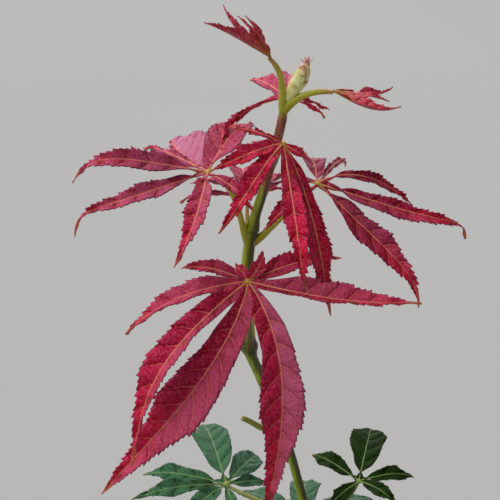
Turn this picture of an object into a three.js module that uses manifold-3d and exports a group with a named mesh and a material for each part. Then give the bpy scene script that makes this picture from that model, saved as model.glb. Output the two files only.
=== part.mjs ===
// A young Japanese maple in a plain terracotta pot, in millimetres, +Z up.
// The origin is the centre of the pot's flat underside. -Y is the side the leader leans to show.
//
// One upright main stem grows from the potting mix. Four short boughs near its foot carry the lower
// foliage masses. Its leader carries the leaves in opposite pairs, each pair a quarter turn from
// the next, and ends in a bud. A leaf is a fan of long pointed lobes on a thin stalk.

import {
  BufferAttribute, BufferGeometry, CubicBezierCurve3, CylinderGeometry, Group, LatheGeometry,
  MathUtils, Mesh, MeshStandardMaterial, Vector2, Vector3,
} from 'three';
import { mergeVertices } from 'three/addons/utils/BufferGeometryUtils.js';
import Module from 'manifold-3d';

const wasm = await Module();
wasm.setup();

// Clearance between neighbouring pieces
const GAP = 0.3;

// Edges shorter than this are tidied away where fused pieces meet
const SEAM_TOLERANCE = 0.02;
const TOUCHING = 0.001;

// Pot, turned terracotta with a straight rim band
const POT_HEIGHT = 125;
const POT_FOOT_RADIUS = 52;
const POT_NECK_RADIUS = 68;
const POT_RIM_RADIUS = 75;
const POT_RIM_HEIGHT = 26;
const POT_WALL = 6;
const POT_FLOOR = 9;
const POT_SIDES = 36;
const DRAIN_HOLES = 4;
const DRAIN_RADIUS = 4.5;
const DRAIN_RING = 27;

// Potting mix, level, a little below the rim
const MIX_LEVEL = 112;
const FOOT_LEVEL = MIX_LEVEL + GAP;

// Main stem: centre x, y, height z and radius, from the flat cut at the mix to the tip
const STEM = [
  [0, 0, FOOT_LEVEL, 4.2],
  [1.5, 1, 150, 3.4],
  [-2, 2, 190, 2.8],
  [-9, 1, 228, 2.3],
  [-18, -1, 257, 1.8],
  [-26, -3.5, 286, 1.4],
  [-33.5, -5, 305.5, 1.5],
  [-36.5, -6, 314.6, 1.6],
  [-36.9, -6, 332.6, 1.55],
  [-35.5, -6, 346.8, 1.4],
  [-33.1, -6, 355.4, 1.25],
  [-30.7, -6, 364.3, 1.2],
  [-28.6, -6, 372.9, 1.15],
  [-27.9, -6, 377.8, 1.1],
];
const STEM_SIDES = 9;
const STEM_STEP = 13;
const LEAST_STEP = 0.7;
const STEM_TIP_SHARE = 0.6;
const FLARE_RADIUS = 3.2;
const FLARE_HEIGHT = 7;
const FLARE_ROOTS = 5;
const FLARE_LOBE_SHARE = 0.25;
const FLARE_RISES = [0, 1.5, 4, 8, 14, 24];

// Heights of the stem's nodes, and how much each swells: the bud scale ring swells most
const NODE_LOWEST = 228;
const NODE_OLD = 257;
const NODE_RING = 314.6;
const NODE_MIDDLE = 346.8;
const NODE_HIGH = 364.3;
const NODE_TOP = 377;
const SWELLINGS = [
  [NODE_LOWEST, 0.5],
  [NODE_OLD, 0.6],
  [NODE_RING, 0.9],
  [NODE_MIDDLE, 0.45],
  [NODE_HIGH, 0.35],
  [NODE_TOP, 0.3],
];
const SWELLING_HEIGHT = 1.8;

// Leaf blade: its thickness, and how far its margins rise for each mm from the midrib.
// A lobe starts narrow, is widest a little past its middle and runs out to a point.
const BLADE_THICKNESS = 1.0;
const BLADE_FOLD = 0.35;
const WIDEST_AT = 0.55;
const NARROW_SHARE = 0.3;
const POINT_POWER = 1.15;
const SINUS_DEPTH = 0.13;
const FOLDED_THICKNESS = 0.9;
const FOLDED_TIP = 0.1;
const BASE_SHARE = 0.06;
const LEADER_ROWS = [0.16, 0.34, 0.55, 0.78, 1];

// Hub where the lobes meet, and the stalk: swollen at its foot and drawn in at its tip
const HUB_RADIUS = 1.7;
const HUB_TOP_SHARE = 0.8;
const HUB_THICKNESS = 1.5;
const STALK_RADIUS = 0.75;
const STALK_SIDES = 5;
const STALK_FOOT_SHARE = 1.25;
const STALK_FOOT_END = 0.25;
const STALK_TIP_SHARE = 0.5;
const STALK_TIP_POWER = 6;
const HANDLE_SHARE = 0.38;

// The leader's leaves. heart is where the lobes and the stalk meet, face points out of the upper
// side, hook bends the lobes near their tips when it is large. rise is how steeply the stalk
// leaves the stem, arrive is its direction at the heart. Each lobe is
// [tip x, y, z from the heart, lift of its arch, sway to the side, half width as a share of length],
// with a hook of its own at the end where it has one.
const LEAVES = {
  leaf_low_front: {
    node: NODE_RING, heart: [-36.5, -18, 337.5], face: [0.05, -0.8, 0.6], hook: 1.6,
    rise: 1.6, arrive: [0, -0.9, 0.4],
    lobes: [
      [-3, 2, 4, 0.3, 0, 0.2],
      [-15.5, 5, 1.5, 1.5, -1, 0.13],
      [-29, -8, -10, 3, -2.5, 0.085],
      [-25, -29, -30.5, 8, -6, 0.09],
      [-35, -20, -47, 7, 5.5, 0.095],
      [4.5, -18, -51.5, 8, 5, 0.095],
      [41.5, -9, -1, 0.5, -1.8, 0.065, 4],
      [23, 8, 3, 2, 1, 0.12],
      [3, 3, 6.5, 0.5, 1, 0.16],
    ],
  },
  leaf_high_front: {
    node: NODE_HIGH, heart: [-28.5, -20, 372], face: [0, -0.75, 0.66], hook: 2,
    rise: 0.6, arrive: [0, -0.95, 0.3],
    lobes: [
      [-12.5, 0, 4, 2, -1, 0.1],
      [-16.5, -8, -4, 2, -1, 0.12],
      [-14.5, -14, -16.5, 4, 1, 0.1],
      [5.5, -16, -30, 6, -1, 0.1],
      [13, 9, -47, 5, -1, 0.08],
      [5.5, 4, -2.5, 1.2, 0, 0.14],
    ],
  },
  leaf_mid_left: {
    node: NODE_MIDDLE, heart: [-46, -12, 363], face: [-0.15, -0.35, 0.92], hook: 2,
    rise: 1.2, arrive: [-0.6, -0.3, 0.7],
    lobes: [
      [11, -6, -8, 2, 0, 0.11],
      [-7, -22, -15.5, 2.5, 2, 0.105],
      [-29, -18, -9.5, 4.5, 0.5, 0.085, 12],
      [-32, -2, -2, 5.5, 0.5, 0.08, 4],
      [-17.5, 22, 0, 1.5, 0, 0.1, 3],
      [-11.5, 38, -2.5, 2.5, 0, 0.13, 1.3],
      [7.5, 26, -1, 2, 0, 0.14],
    ],
  },
  leaf_mid_right: {
    node: NODE_MIDDLE, heart: [-19.5, -5, 358], face: [0.15, -0.3, 0.94], hook: 2,
    rise: 0.7, arrive: [0.8, 0, 0.6],
    lobes: [
      [-12.5, 13, -6.5, 2, 0, 0.12],
      [4.5, 27, 0, 3, 0, 0.12],
      [9.5, 35, -5, 3, 0, 0.07],
      [25.5, 11, -9.5, 4.2, 0, 0.07],
      [36.5, -5, -12.5, 3, -0.7, 0.075, 8],
      [24.5, -14, -26, 3.2, -0.7, 0.1, 5],
      [-13.5, -7, -10, 1, 0, 0.12],
    ],
  },
  leaf_high_back: {
    node: NODE_HIGH, heart: [-27, 6, 377], face: [0.05, 0.3, 0.95], hook: 2,
    rise: 1, arrive: [0.1, 0.7, 0.7],
    lobes: [
      [9.5, -4, -4, 2, 0, 0.06],
      [11.5, 8, -5, 2, 0, 0.07],
      [2.5, 28, -0.5, 2, 0, 0.11],
      [-9, 20, -1, 2, 0, 0.15],
      [-15.5, -11, -11, 4, 1, 0.08],
    ],
  },
  leaf_young_left: {
    node: NODE_TOP, heart: [-31.5, -8, 389.5], face: [0.5, -0.4, 0.75], hook: 1.5,
    rise: 1.8, arrive: [-0.7, -0.1, 0.7],
    lobes: [
      [-1.5, -2, 5, 0.3, 0, 0.1],
      [-3.5, 4, 7, 0.3, 0, 0.08],
      [-6, 0, 9.5, 0.5, 0, 0.08],
      [-10.5, 2, 11.5, 0.5, 0, 0.09],
      [-14.5, -4, 8.5, 1, 0, 0.1],
      [-6, -4, 4.5, 0.3, 0, 0.12],
    ],
  },
  leaf_young_right: {
    node: NODE_TOP, heart: [-16.5, -8, 381.5], face: [0.1, -0.4, 0.9], hook: 1.5,
    rise: 1, arrive: [0.97, 0, -0.15],
    lobes: [
      [5, -2, -2.5, 0.3, 0, 0.14],
      [15, -6, -2.5, -1.5, 0, 0.1],
      [13.5, 0, -2.5, 1, 0, 0.08],
      [14.5, 6, -0.5, -1, 0, 0.07],
      [8.5, 6, -2.5, 0.5, 0, 0.14],
    ],
  },
  leaf_green_left: {
    node: NODE_OLD, heart: [-43, 12, 259.5], face: [0.1, -0.45, 0.88], hook: 2,
    rise: 0.5, arrive: [-0.85, 0.35, 0.3],
    lobes: [
      [3, -12, -5, 1, 0, 0.14],
      [-12.5, -16, -1, 2, 0, 0.13],
      [-30.5, -12, 1.5, 3, 0, 0.12],
      [-43, 6, 2, 3, 0, 0.12],
      [-8.5, 34, 0, 3, 0, 0.15],
      [9.5, 24, -5.5, 2, 0, 0.15],
      [12, 10, -6, 1, 0, 0.12],
    ],
  },
  leaf_green_right: {
    node: NODE_OLD, heart: [-4, 10, 262], face: [0, -0.45, 0.88], hook: 2,
    rise: 0.6, arrive: [0.5, 0.5, 0.6],
    lobes: [
      [-9, -6, -4, 1, 0, 0.16],
      [-13, 14, 0, 2, 0, 0.14],
      [7, 30, -0.5, 3, 0, 0.16],
      [16.5, 2, 0, 3, 0, 0.13],
      [9.5, -12, 0.5, 2, 0, 0.14],
    ],
  },
};

// Leaves that follow the common fan: lobes are spread evenly about the blade's axis
const FAN_LEAVES = {
  leaf_low_back: {
    node: NODE_RING, heart: [-39, 30, 352.5], face: [0, 0.3, 0.95], axis: [-0.05, 1, 0],
    size: 37, rise: 1, arrive: [0, 0.7, 0.7],
  },
  leaf_green_back: {
    node: NODE_LOWEST, heart: [-20, 20, 242], face: [0, 0.1, 0.98], axis: [0.1, 1, -0.35],
    size: 40, rise: 0.8, arrive: [-0.4, 0.7, 0.4],
  },
  leaf_green_front: {
    node: NODE_LOWEST, heart: [4, -20, 243], face: [0.1, -0.3, 0.95], axis: [0.35, -1, -0.3],
    size: 42, rise: 0.8, arrive: [0.4, -0.7, 0.4],
  },
};
const FAN_SPREAD = MathUtils.degToRad(39);
const LEADER_FAN_HALF = 3;
const MASS_FAN_HALF = 2;
const FAN_LENGTHS = [1, 0.92, 0.74, 0.45];
const FAN_WIDTH = 0.115;
const FAN_SAG = 0.16;
const FAN_ARCH = 0.08;
const FAN_HOOK = 2;
const FAN_ROWS = [0.2, 0.55, 1];

// Short stump of an old leaf stalk
const STUMP_LEVEL = 288;
const STUMP_END = [-38, -8, 294];
const STUMP_RISE = 0.2;

// Bud at the tip of the leader: an egg on a short neck, widest past its middle
const BUD_TIP = [-22.4, -6, 388.8];
const BUD_RADIUS = 2;
const BUD_NECK_SHARE = 0.42;
const BUD_BELLY_SHARE = 0.8;
const BUD_TIP_SHARE = 0.1;
const BUD_OFFSET = 0.6;

// Boughs: height on the stem, compass turn from +X, level reach and rise. Each carries one mass.
const BOUGHS = {
  left: { level: 164, turn: 188, reach: 27, rise: 29, seed: 11 },
  right: { level: 164, turn: 4, reach: 28, rise: 33, seed: 23 },
  front: { level: 182, turn: 276, reach: 25, rise: 27, seed: 37 },
  back: { level: 178, turn: 98, reach: 22, rise: 6, seed: 53 },
};
const BOUGH_RADIUS = 1.9;
const BOUGH_TIP_RADIUS = 1.2;
const BOUGH_SIDES = 8;
const BOUGH_START_RISE = 1.2;
const BOUGH_END_RISE = 0.45;

// Masses: one twig that goes on from the bough, with three opposite pairs of fan leaves
const TWIG_REACH = 40;
const TWIG_RISE = 5;
const TWIG_SAG = 0.25;
const TWIG_TIP_RADIUS = 0.6;
const TWIG_PAIRS = [0.3, 0.68, 1];
const TWIG_STALKS = [21, 17, 13];
const TWIG_LEAVES = [36, 32, 30];
const STALK_FORWARD = 0.75;
const LEVEL_PAIR = { spread: 1, lift: 0.25, split: 0 };
const UPRIGHT_PAIR = { spread: 0.45, lift: 0.3, split: 0.75 };

const UP = new Vector3(0, 0, 1);

// A repeatable number between 0 and 1 for each whole number
function chance(n) {
  const wave = Math.sin(n * 12.9898) * 43758.5453;
  return wave - Math.floor(wave);
}

// A repeatable number between two limits
function between(low, high, n) {
  return low + (high - low) * chance(n);
}

function vector([x, y, z]) {
  return new Vector3(x, y, z);
}

function indexed(coordinates, faces) {
  const geometry = new BufferGeometry();
  geometry.setAttribute('position', new BufferAttribute(new Float32Array(coordinates), 3));
  geometry.setIndex(faces);
  return geometry;
}

// A closed geometry through rings of points, each ring with the same count. Its ends are fans
// from the ring's second point, which sees every other one also in a folded section.
function loft(rings) {
  const size = rings[0].length;
  const last = (rings.length - 1) * size;
  const points = rings.flat().flatMap((point) => point.toArray());
  const faces = [];
  for (let row = 0; row + 1 < rings.length; row++) {
    for (let column = 0; column < size; column++) {
      const here = row * size + column;
      const beside = row * size + (column + 1) % size;
      faces.push(here, beside, beside + size, here, beside + size, here + size);
    }
  }
  for (let step = 1; step + 1 < size; step++) {
    const one = (1 + step) % size;
    const two = (2 + step) % size;
    faces.push(1, two, one, last + 1, last + one, last + two);
  }
  return indexed(points, faces);
}

// Turns a geometry into a solid whose faces point out
function solid(geometry) {
  const bare = geometry.clone();
  bare.deleteAttribute('normal');
  bare.deleteAttribute('uv');
  const merged = mergeVertices(bare, 1e-4);
  const corners = merged.getAttribute('position');
  const faces = Array.from(merged.getIndex().array);
  const [a, b, c] = [new Vector3(), new Vector3(), new Vector3()];
  let volume = 0;
  for (let i = 0; i < faces.length; i += 3) {
    a.fromBufferAttribute(corners, faces[i]);
    b.fromBufferAttribute(corners, faces[i + 1]);
    c.fromBufferAttribute(corners, faces[i + 2]);
    volume += a.dot(b.cross(c));
  }
  const triVerts = new Uint32Array(volume < 0 ? faces.reverse() : faces);
  return new wasm.Manifold(new wasm.Mesh({ numProp: 3, vertProperties: corners.array, triVerts }));
}

// Fuses solids into one, tidies the slivers of the seams, and drops any loose scrap
function join(solids) {
  const whole = solids.reduce((sum, piece) => sum.add(piece)).simplify(SEAM_TOLERANCE);
  return whole.decompose().sort((one, two) => two.volume() - one.volume())[0];
}

// The geometry of a fused solid. Where its surface touches itself, the points that lie on one
// another are drawn a little apart, each along its own normal.
function geometryOf(whole) {
  const mesh = whole.getMesh();
  const geometry = indexed(mesh.vertProperties, Array.from(mesh.triVerts));
  geometry.computeVertexNormals();
  const [corners, normals] = [geometry.getAttribute('position'), geometry.getAttribute('normal')];
  const [corner, normal] = [new Vector3(), new Vector3()];
  const seen = new Set();
  for (let i = 0; i < corners.count; i++) {
    corner.fromBufferAttribute(corners, i);
    const place = corner.toArray().map((value) => Math.round(value / TOUCHING)).join();
    if (seen.has(place)) {
      corner.addScaledVector(normal.fromBufferAttribute(normals, i), -SEAM_TOLERANCE);
      corners.setXYZ(i, corner.x, corner.y, corner.z);
    }
    seen.add(place);
  }
  geometry.computeVertexNormals();
  return geometry;
}

// The stem's centre and radius at a height: a smooth cubic through the stations on either side
function stemAt(height) {
  const slope = (i, k) => {
    const [below, above] = [STEM[Math.max(i - 1, 0)], STEM[Math.min(i + 1, STEM.length - 1)]];
    return (above[k] - below[k]) / (above[2] - below[2]);
  };
  const above = STEM.findIndex((station) => station[2] >= height);
  const i = Math.max(above < 0 ? STEM.length - 2 : above - 1, 0);
  const span = STEM[i + 1][2] - STEM[i][2];
  const t = (height - STEM[i][2]) / span;
  const eased = t ** 2 * (3 - 2 * t);
  const value = (k) => (1 - eased) * STEM[i][k] + eased * STEM[i + 1][k]
    + (t ** 3 - 2 * t ** 2 + t) * span * slope(i, k) + (t ** 3 - t ** 2) * span * slope(i + 1, k);
  let radius = value(3);
  for (const [level, amount] of SWELLINGS) {
    radius += amount * Math.exp(-(((height - level) / SWELLING_HEIGHT) ** 2));
  }
  return { centre: new Vector3(value(0), value(1), height), radius };
}

// The main stem, with a lobed root flare at its flat cut and a rounded tip
function stem() {
  const top = STEM.at(-1)[2];
  const levels = FLARE_RISES.map((rise) => FOOT_LEVEL + rise);
  for (let level = levels.at(-1) + STEM_STEP; level < top; level += STEM_STEP) {
    levels.push(level);
  }
  for (const [level] of SWELLINGS) {
    levels.push(level - SWELLING_HEIGHT, level, level + SWELLING_HEIGHT);
  }
  const sorted = levels.filter((level) => level < top - LEAST_STEP).sort((one, two) => one - two);
  const spaced = sorted.filter((level, i) => i === 0 || level - sorted[i - 1] > LEAST_STEP);
  const rings = [...spaced, top].map((level) => {
    const { centre, radius } = stemAt(level);
    const flare = FLARE_RADIUS * Math.exp(-(level - FOOT_LEVEL) / FLARE_HEIGHT);
    const closing = level === top ? STEM_TIP_SHARE : 1;
    return Array.from({ length: STEM_SIDES }, (_, k) => {
      const angle = (k / STEM_SIDES) * 2 * Math.PI;
      const lobed = 1 + FLARE_LOBE_SHARE * (Math.cos(FLARE_ROOTS * angle) - 1);
      const reach = (radius + flare * lobed) * closing;
      return centre.clone().add(new Vector3(reach * Math.cos(angle), reach * Math.sin(angle), 0));
    });
  });
  return loft(rings);
}

// A tapering round limb along a curve
function limb(curve, radiusAt, sides, steps) {
  const frames = curve.computeFrenetFrames(steps, false);
  const rings = frames.tangents.map((_, row) => {
    const centre = curve.getPointAt(row / steps);
    const radius = radiusAt(row / steps);
    return Array.from({ length: sides }, (_, k) => {
      const angle = (k / sides) * 2 * Math.PI;
      return centre.clone()
        .addScaledVector(frames.normals[row], radius * Math.cos(angle))
        .addScaledVector(frames.binormals[row], radius * Math.sin(angle));
    });
  });
  return loft(rings);
}

// Where a limb starts beside the stem: its round foot keeps the clearance
function footOnStem(level, towards, rise, footRadius) {
  const { centre, radius } = stemAt(level);
  const out = towards.clone().sub(centre).setZ(0).normalize();
  const start = out.clone().add(new Vector3(0, 0, rise)).normalize();
  const bend = Math.abs(stemAt(level + 1).centre.sub(centre).dot(out));
  const lean = footRadius * (Math.sqrt(1 - start.dot(out) ** 2) + bend);
  return { foot: centre.addScaledVector(out, radius + GAP + lean), start };
}

// A stalk or bough: leaves its foot along one direction and arrives at its end along another
function bendingCurve(foot, start, end, arrive) {
  const length = foot.distanceTo(end);
  return new CubicBezierCurve3(
    foot,
    foot.clone().addScaledVector(start, HANDLE_SHARE * length),
    end.clone().addScaledVector(arrive, -HANDLE_SHARE * length),
    end,
  );
}

// The midrib of a lobe: a chord from the heart to the tip, arched by a hump that lifts it off the
// chord and sways it to one side. The hump's top moves towards the tip as hook grows.
function midribOf(heart, face, leafHook, [x, y, z, lift, sway, width, hook = leafHook]) {
  const chord = new Vector3(x, y, z);
  const length = chord.length();
  const up = face.clone().addScaledVector(chord, -face.dot(chord) / length ** 2).normalize();
  const side = new Vector3().crossVectors(up, chord).normalize();
  const top = (1 / (1 + hook)) ** (1 / hook);
  const at = (s) => {
    const hump = (s * (1 - s ** hook)) / (top * (1 - top ** hook));
    return heart.clone().addScaledVector(chord, s)
      .addScaledVector(up, hump * lift).addScaledVector(side, hump * sway);
  };
  const frame = (s) => {
    const along = at(Math.min(s + 0.01, 1)).sub(at(Math.max(s - 0.01, 0))).normalize();
    const over = face.clone().addScaledVector(along, -face.dot(along)).normalize();
    return { over, across: new Vector3().crossVectors(over, along) };
  };
  const half = (s) => {
    const opening = NARROW_SHARE + (1 - NARROW_SHARE) * Math.sin((Math.PI / 2) * (s / WIDEST_AT));
    const closing = ((1 - s) / (1 - WIDEST_AT)) ** POINT_POWER;
    return width * length * (s < WIDEST_AT ? opening : closing);
  };
  return { length, at, frame, half };
}

// A whole blade: lobes side by side round the heart, each with a keel along its midrib and raised
// margins. Neighbours part at a sinus halfway between their midribs. The surface is given its
// thickness, half above and half below, with a wall round its margin.
function blade(heart, face, hook, lobes, rows) {
  const ribs = lobes.map((one) => midribOf(heart, face, hook, one));
  const points = [heart.clone()];
  const overs = [face.clone()];
  const faces = [];
  const margin = [0];
  const addPoint = (point, over) => {
    overs.push(over);
    return points.push(point) - 1;
  };
  const sinuses = ribs.map((rib, i) => {
    if (i === 0) {
      return null;
    }
    const before = ribs[i - 1];
    const reach = (SINUS_DEPTH * 2 * rib.length * before.length) / (rib.length + before.length);
    const [one, two] = [before.at(reach / before.length), rib.at(reach / rib.length)];
    return addPoint(one.add(two).multiplyScalar(0.5), face.clone());
  });
  ribs.forEach((rib, i) => {
    const middle = rows.map((s) => addPoint(rib.at(s), rib.frame(s).over));
    const sideOf = (hand, sinus) => {
      const edgeAt = (s) => {
        const { over, across } = rib.frame(s);
        const half = rib.half(s);
        const level = rib.at(s).addScaledVector(across, hand * half);
        return addPoint(level.addScaledVector(over, BLADE_FOLD * half), over);
      };
      const inner = rows.slice(1, -1).map(edgeAt);
      return [sinus ?? edgeAt(BASE_SHARE), ...inner, middle.at(-1)];
    };
    const right = sideOf(-1, sinuses[i]);
    const left = sideOf(1, sinuses[i + 1]);
    faces.push(0, right[0], middle[0], 0, middle[0], left[0]);
    for (let row = 0; row + 1 < rows.length; row++) {
      faces.push(middle[row], right[row], right[row + 1], middle[row], left[row + 1], left[row]);
      if (row + 2 < rows.length) {
        faces.push(middle[row], right[row + 1], middle[row + 1]);
        faces.push(middle[row], middle[row + 1], left[row + 1]);
      }
    }
    const back = left.slice(sinuses[i + 1] ? 1 : 0, -1).reverse();
    margin.push(...right, ...back);
  });
  const count = points.length;
  const shifted = (distance) => points.map(
    (point, i) => point.clone().addScaledVector(overs[i], distance));
  const all = [...shifted(BLADE_THICKNESS / 2), ...shifted(-BLADE_THICKNESS / 2)];
  const shell = [...faces];
  for (let i = 0; i < faces.length; i += 3) {
    shell.push(faces[i] + count, faces[i + 2] + count, faces[i + 1] + count);
  }
  margin.forEach((here, i) => {
    const next = margin[(i + 1) % margin.length];
    shell.push(next, here, here + count, next, here + count, next + count);
  });
  return solid(indexed(all.flatMap((point) => point.toArray()), shell));
}

// The lobes of a leaf that hasn't unfolded, each a slim blade of its own. A section has a point at
// each margin, one on the upper side and one below, and the lobes are fused at the heart.
function foldedLobes(heart, face, hook, lobes) {
  return lobes.map((one) => {
    const rib = midribOf(heart, face, hook, one);
    const rings = [0, ...LEADER_ROWS].map((s) => {
      const { over, across } = rib.frame(s);
      const half = Math.max(rib.half(s), FOLDED_TIP);
      const thick = s < 1 ? FOLDED_THICKNESS / 2 : FOLDED_TIP;
      const raised = BLADE_FOLD * half;
      return [[half, raised], [0, thick], [-half, raised], [0, -thick]].map(([wide, high]) => rib.at(s)
        .addScaledVector(across, wide).addScaledVector(over, high));
    });
    return solid(loft(rings));
  });
}

// The hub where the lobes meet: a small disc across the blade
function hub(heart, face) {
  const disc = new CylinderGeometry(HUB_RADIUS * HUB_TOP_SHARE, HUB_RADIUS, HUB_THICKNESS, STALK_SIDES);
  const holder = new Mesh(disc);
  holder.quaternion.setFromUnitVectors(new Vector3(0, 1, 0), face);
  holder.position.copy(heart);
  holder.updateMatrix();
  return solid(disc.applyMatrix4(holder.matrix));
}

// A leaf stalk, whose tip ends inside the blade
function stalk(curve, sides, steps) {
  const radiusAt = (t) => {
    const foot = (STALK_FOOT_SHARE - 1) * (1 - Math.min(t / STALK_FOOT_END, 1));
    const tip = (1 - STALK_TIP_SHARE) * t ** STALK_TIP_POWER;
    return STALK_RADIUS * (1 + foot - tip);
  };
  return solid(limb(curve, radiusAt, sides, steps));
}

// The lobes of a fan leaf: the middle one is longest, and all of them sag towards their tips
function fanLobes(axis, face, size, half) {
  const side = new Vector3().crossVectors(face, axis).normalize();
  const ahead = new Vector3().crossVectors(side, face).normalize();
  return Array.from({ length: 2 * half + 1 }, (_, k) => {
    const turn = (k - half) * FAN_SPREAD;
    const length = size * FAN_LENGTHS[Math.abs(k - half)];
    const tip = ahead.clone().multiplyScalar(length * Math.cos(turn))
      .addScaledVector(side, length * Math.sin(turn)).addScaledVector(face, -FAN_SAG * length);
    return [...tip.toArray(), FAN_ARCH * length, 0, FAN_WIDTH];
  });
}

// A leaf of the leader: lobes, hub and stalk fused into one solid
function leaderLeaf({ node, heart, face, hook = FAN_HOOK, rise, arrive, lobes, axis, size }) {
  const place = vector(heart);
  const upper = vector(face).normalize();
  const fan = lobes ?? fanLobes(vector(axis).normalize(), upper, size, LEADER_FAN_HALF);
  const rows = lobes ? LEADER_ROWS : FAN_ROWS;
  const { foot, start } = footOnStem(node, place, rise, STALK_RADIUS * STALK_FOOT_SHARE);
  const curve = bendingCurve(foot, start, place, vector(arrive).normalize());
  const blades = node === NODE_TOP
    ? foldedLobes(place, upper, hook, fan)
    : [blade(place, upper, hook, fan, rows)];
  return join([...blades, hub(place, upper), stalk(curve, STALK_SIDES, 4)]);
}

// A bough's curve: out and up from the stem, easing towards level
function boughCurve({ level, turn, reach, rise }) {
  const { centre } = stemAt(level);
  const out = new Vector3(Math.cos(MathUtils.degToRad(turn)), Math.sin(MathUtils.degToRad(turn)), 0);
  const end = centre.clone().addScaledVector(out, reach).add(new Vector3(0, 0, rise));
  const { foot, start } = footOnStem(level, end, BOUGH_START_RISE, BOUGH_RADIUS);
  const arrive = out.clone().addScaledVector(UP, BOUGH_END_RISE).normalize();
  return { curve: bendingCurve(foot, start, end, arrive), out, end, arrive };
}

function bough(plan) {
  const taper = (t) => BOUGH_RADIUS + (BOUGH_TIP_RADIUS - BOUGH_RADIUS) * t;
  return limb(boughCurve(plan).curve, taper, BOUGH_SIDES, 6);
}

// A foliage mass: a twig that goes on from the bough, and pairs of fan leaves, each pair a
// quarter turn from the one before, varied by the seed
function mass(plan) {
  const { out, end, arrive } = boughCurve(plan);
  const across = new Vector3().crossVectors(UP, out);
  const root = end.clone().addScaledVector(arrive, GAP);
  const tip = root.clone().addScaledVector(out, TWIG_REACH).add(new Vector3(0, 0, TWIG_RISE));
  const twigEnd = out.clone().addScaledVector(UP, -TWIG_SAG).normalize();
  const twig = bendingCurve(root, arrive, tip, twigEnd);
  const taper = (t) => BOUGH_TIP_RADIUS + (TWIG_TIP_RADIUS - BOUGH_TIP_RADIUS) * t;
  const pieces = [solid(limb(twig, taper, 5, 4))];
  TWIG_PAIRS.forEach((place, pair) => {
    const { spread, lift, split } = pair % 2 === 0 ? LEVEL_PAIR : UPRIGHT_PAIR;
    const origin = twig.getPointAt(place);
    for (const hand of [-1, 1]) {
      const n = plan.seed + 2 * pair + (hand + 1) / 2;
      const stalkWay = across.clone().multiplyScalar(hand * spread * between(0.9, 1.2, n))
        .addScaledVector(out, STALK_FORWARD).addScaledVector(UP, lift + split * hand).normalize();
      const stalkLength = TWIG_STALKS[pair] * between(0.85, 1.25, n + 100);
      const heart = origin.clone().addScaledVector(stalkWay, stalkLength);
      const axis = stalkWay.clone().addScaledVector(out, 0.3)
        .setZ(-between(0.1, 0.4, n + 200)).normalize();
      const face = UP.clone().addScaledVector(across, hand * between(0, 0.3, n + 300))
        .addScaledVector(axis, -axis.z).normalize();
      const size = TWIG_LEAVES[pair] * between(0.88, 1.12, n + 400);
      const arriving = axis.clone().add(face).normalize();
      const stalkCurve = bendingCurve(origin, stalkWay, heart, arriving);
      const lobes = fanLobes(axis, face, size, MASS_FAN_HALF);
      pieces.push(blade(heart, face, FAN_HOOK, lobes, FAN_ROWS), stalk(stalkCurve, 3, 3));
    }
  });
  return join(pieces);
}

// The stump of an old leaf stalk, a short rod with a cut end
function stump() {
  const end = vector(STUMP_END);
  const { foot, start } = footOnStem(STUMP_LEVEL, end, STUMP_RISE, STALK_RADIUS);
  const curve = bendingCurve(foot, start, end, end.clone().sub(foot).normalize());
  return limb(curve, () => STALK_RADIUS, STALK_SIDES, 3);
}

// The bud at the tip: an egg that stands clear of the stem's tip
function bud() {
  const { centre } = stemAt(STEM.at(-1)[2]);
  const tip = vector(BUD_TIP);
  const foot = centre.clone().add(new Vector3(BUD_OFFSET, 0, 3 * GAP));
  const start = new Vector3(BUD_OFFSET, 0, 1).normalize();
  const curve = bendingCurve(foot, start, tip, new Vector3(BUD_OFFSET / 2, 0, 1).normalize());
  const swell = (t) => {
    const belly = BUD_BELLY_SHARE * Math.sin(Math.PI * t ** 0.85) ** 0.9;
    return BUD_RADIUS * (BUD_NECK_SHARE * (1 - t) + belly + BUD_TIP_SHARE);
  };
  return limb(curve, swell, 8, 7);
}

// The pot: a turned wall and floor, with drain holes bored round the middle of the floor
function pot() {
  const rimFoot = POT_HEIGHT - POT_RIM_HEIGHT;
  const profile = [
    [0, 0], [POT_FOOT_RADIUS - 1.5, 0], [POT_FOOT_RADIUS, 1.5], [POT_NECK_RADIUS, rimFoot - 1],
    [POT_RIM_RADIUS - 2.5, rimFoot], [POT_RIM_RADIUS - 1, rimFoot + 2], [POT_RIM_RADIUS, POT_HEIGHT - 2],
    [POT_RIM_RADIUS - 2, POT_HEIGHT], [POT_RIM_RADIUS - POT_WALL, POT_HEIGHT],
    [POT_RIM_RADIUS - POT_WALL - 1.5, POT_HEIGHT - 2], [POT_NECK_RADIUS - POT_WALL, rimFoot - 1],
    [POT_FOOT_RADIUS - POT_WALL, POT_FLOOR], [0, POT_FLOOR],
  ];
  const turned = new LatheGeometry(profile.map(([r, h]) => new Vector2(r, h)), POT_SIDES);
  let body = solid(turned.rotateX(Math.PI / 2));
  for (let hole = 0; hole < DRAIN_HOLES; hole++) {
    const angle = ((hole + 0.5) / DRAIN_HOLES) * 2 * Math.PI;
    const drill = new CylinderGeometry(DRAIN_RADIUS, DRAIN_RADIUS, 3 * POT_FLOOR, 12).rotateX(Math.PI / 2);
    drill.translate(DRAIN_RING * Math.cos(angle), DRAIN_RING * Math.sin(angle), 0);
    body = body.subtract(solid(drill));
  }
  return geometryOf(body);
}

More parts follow.
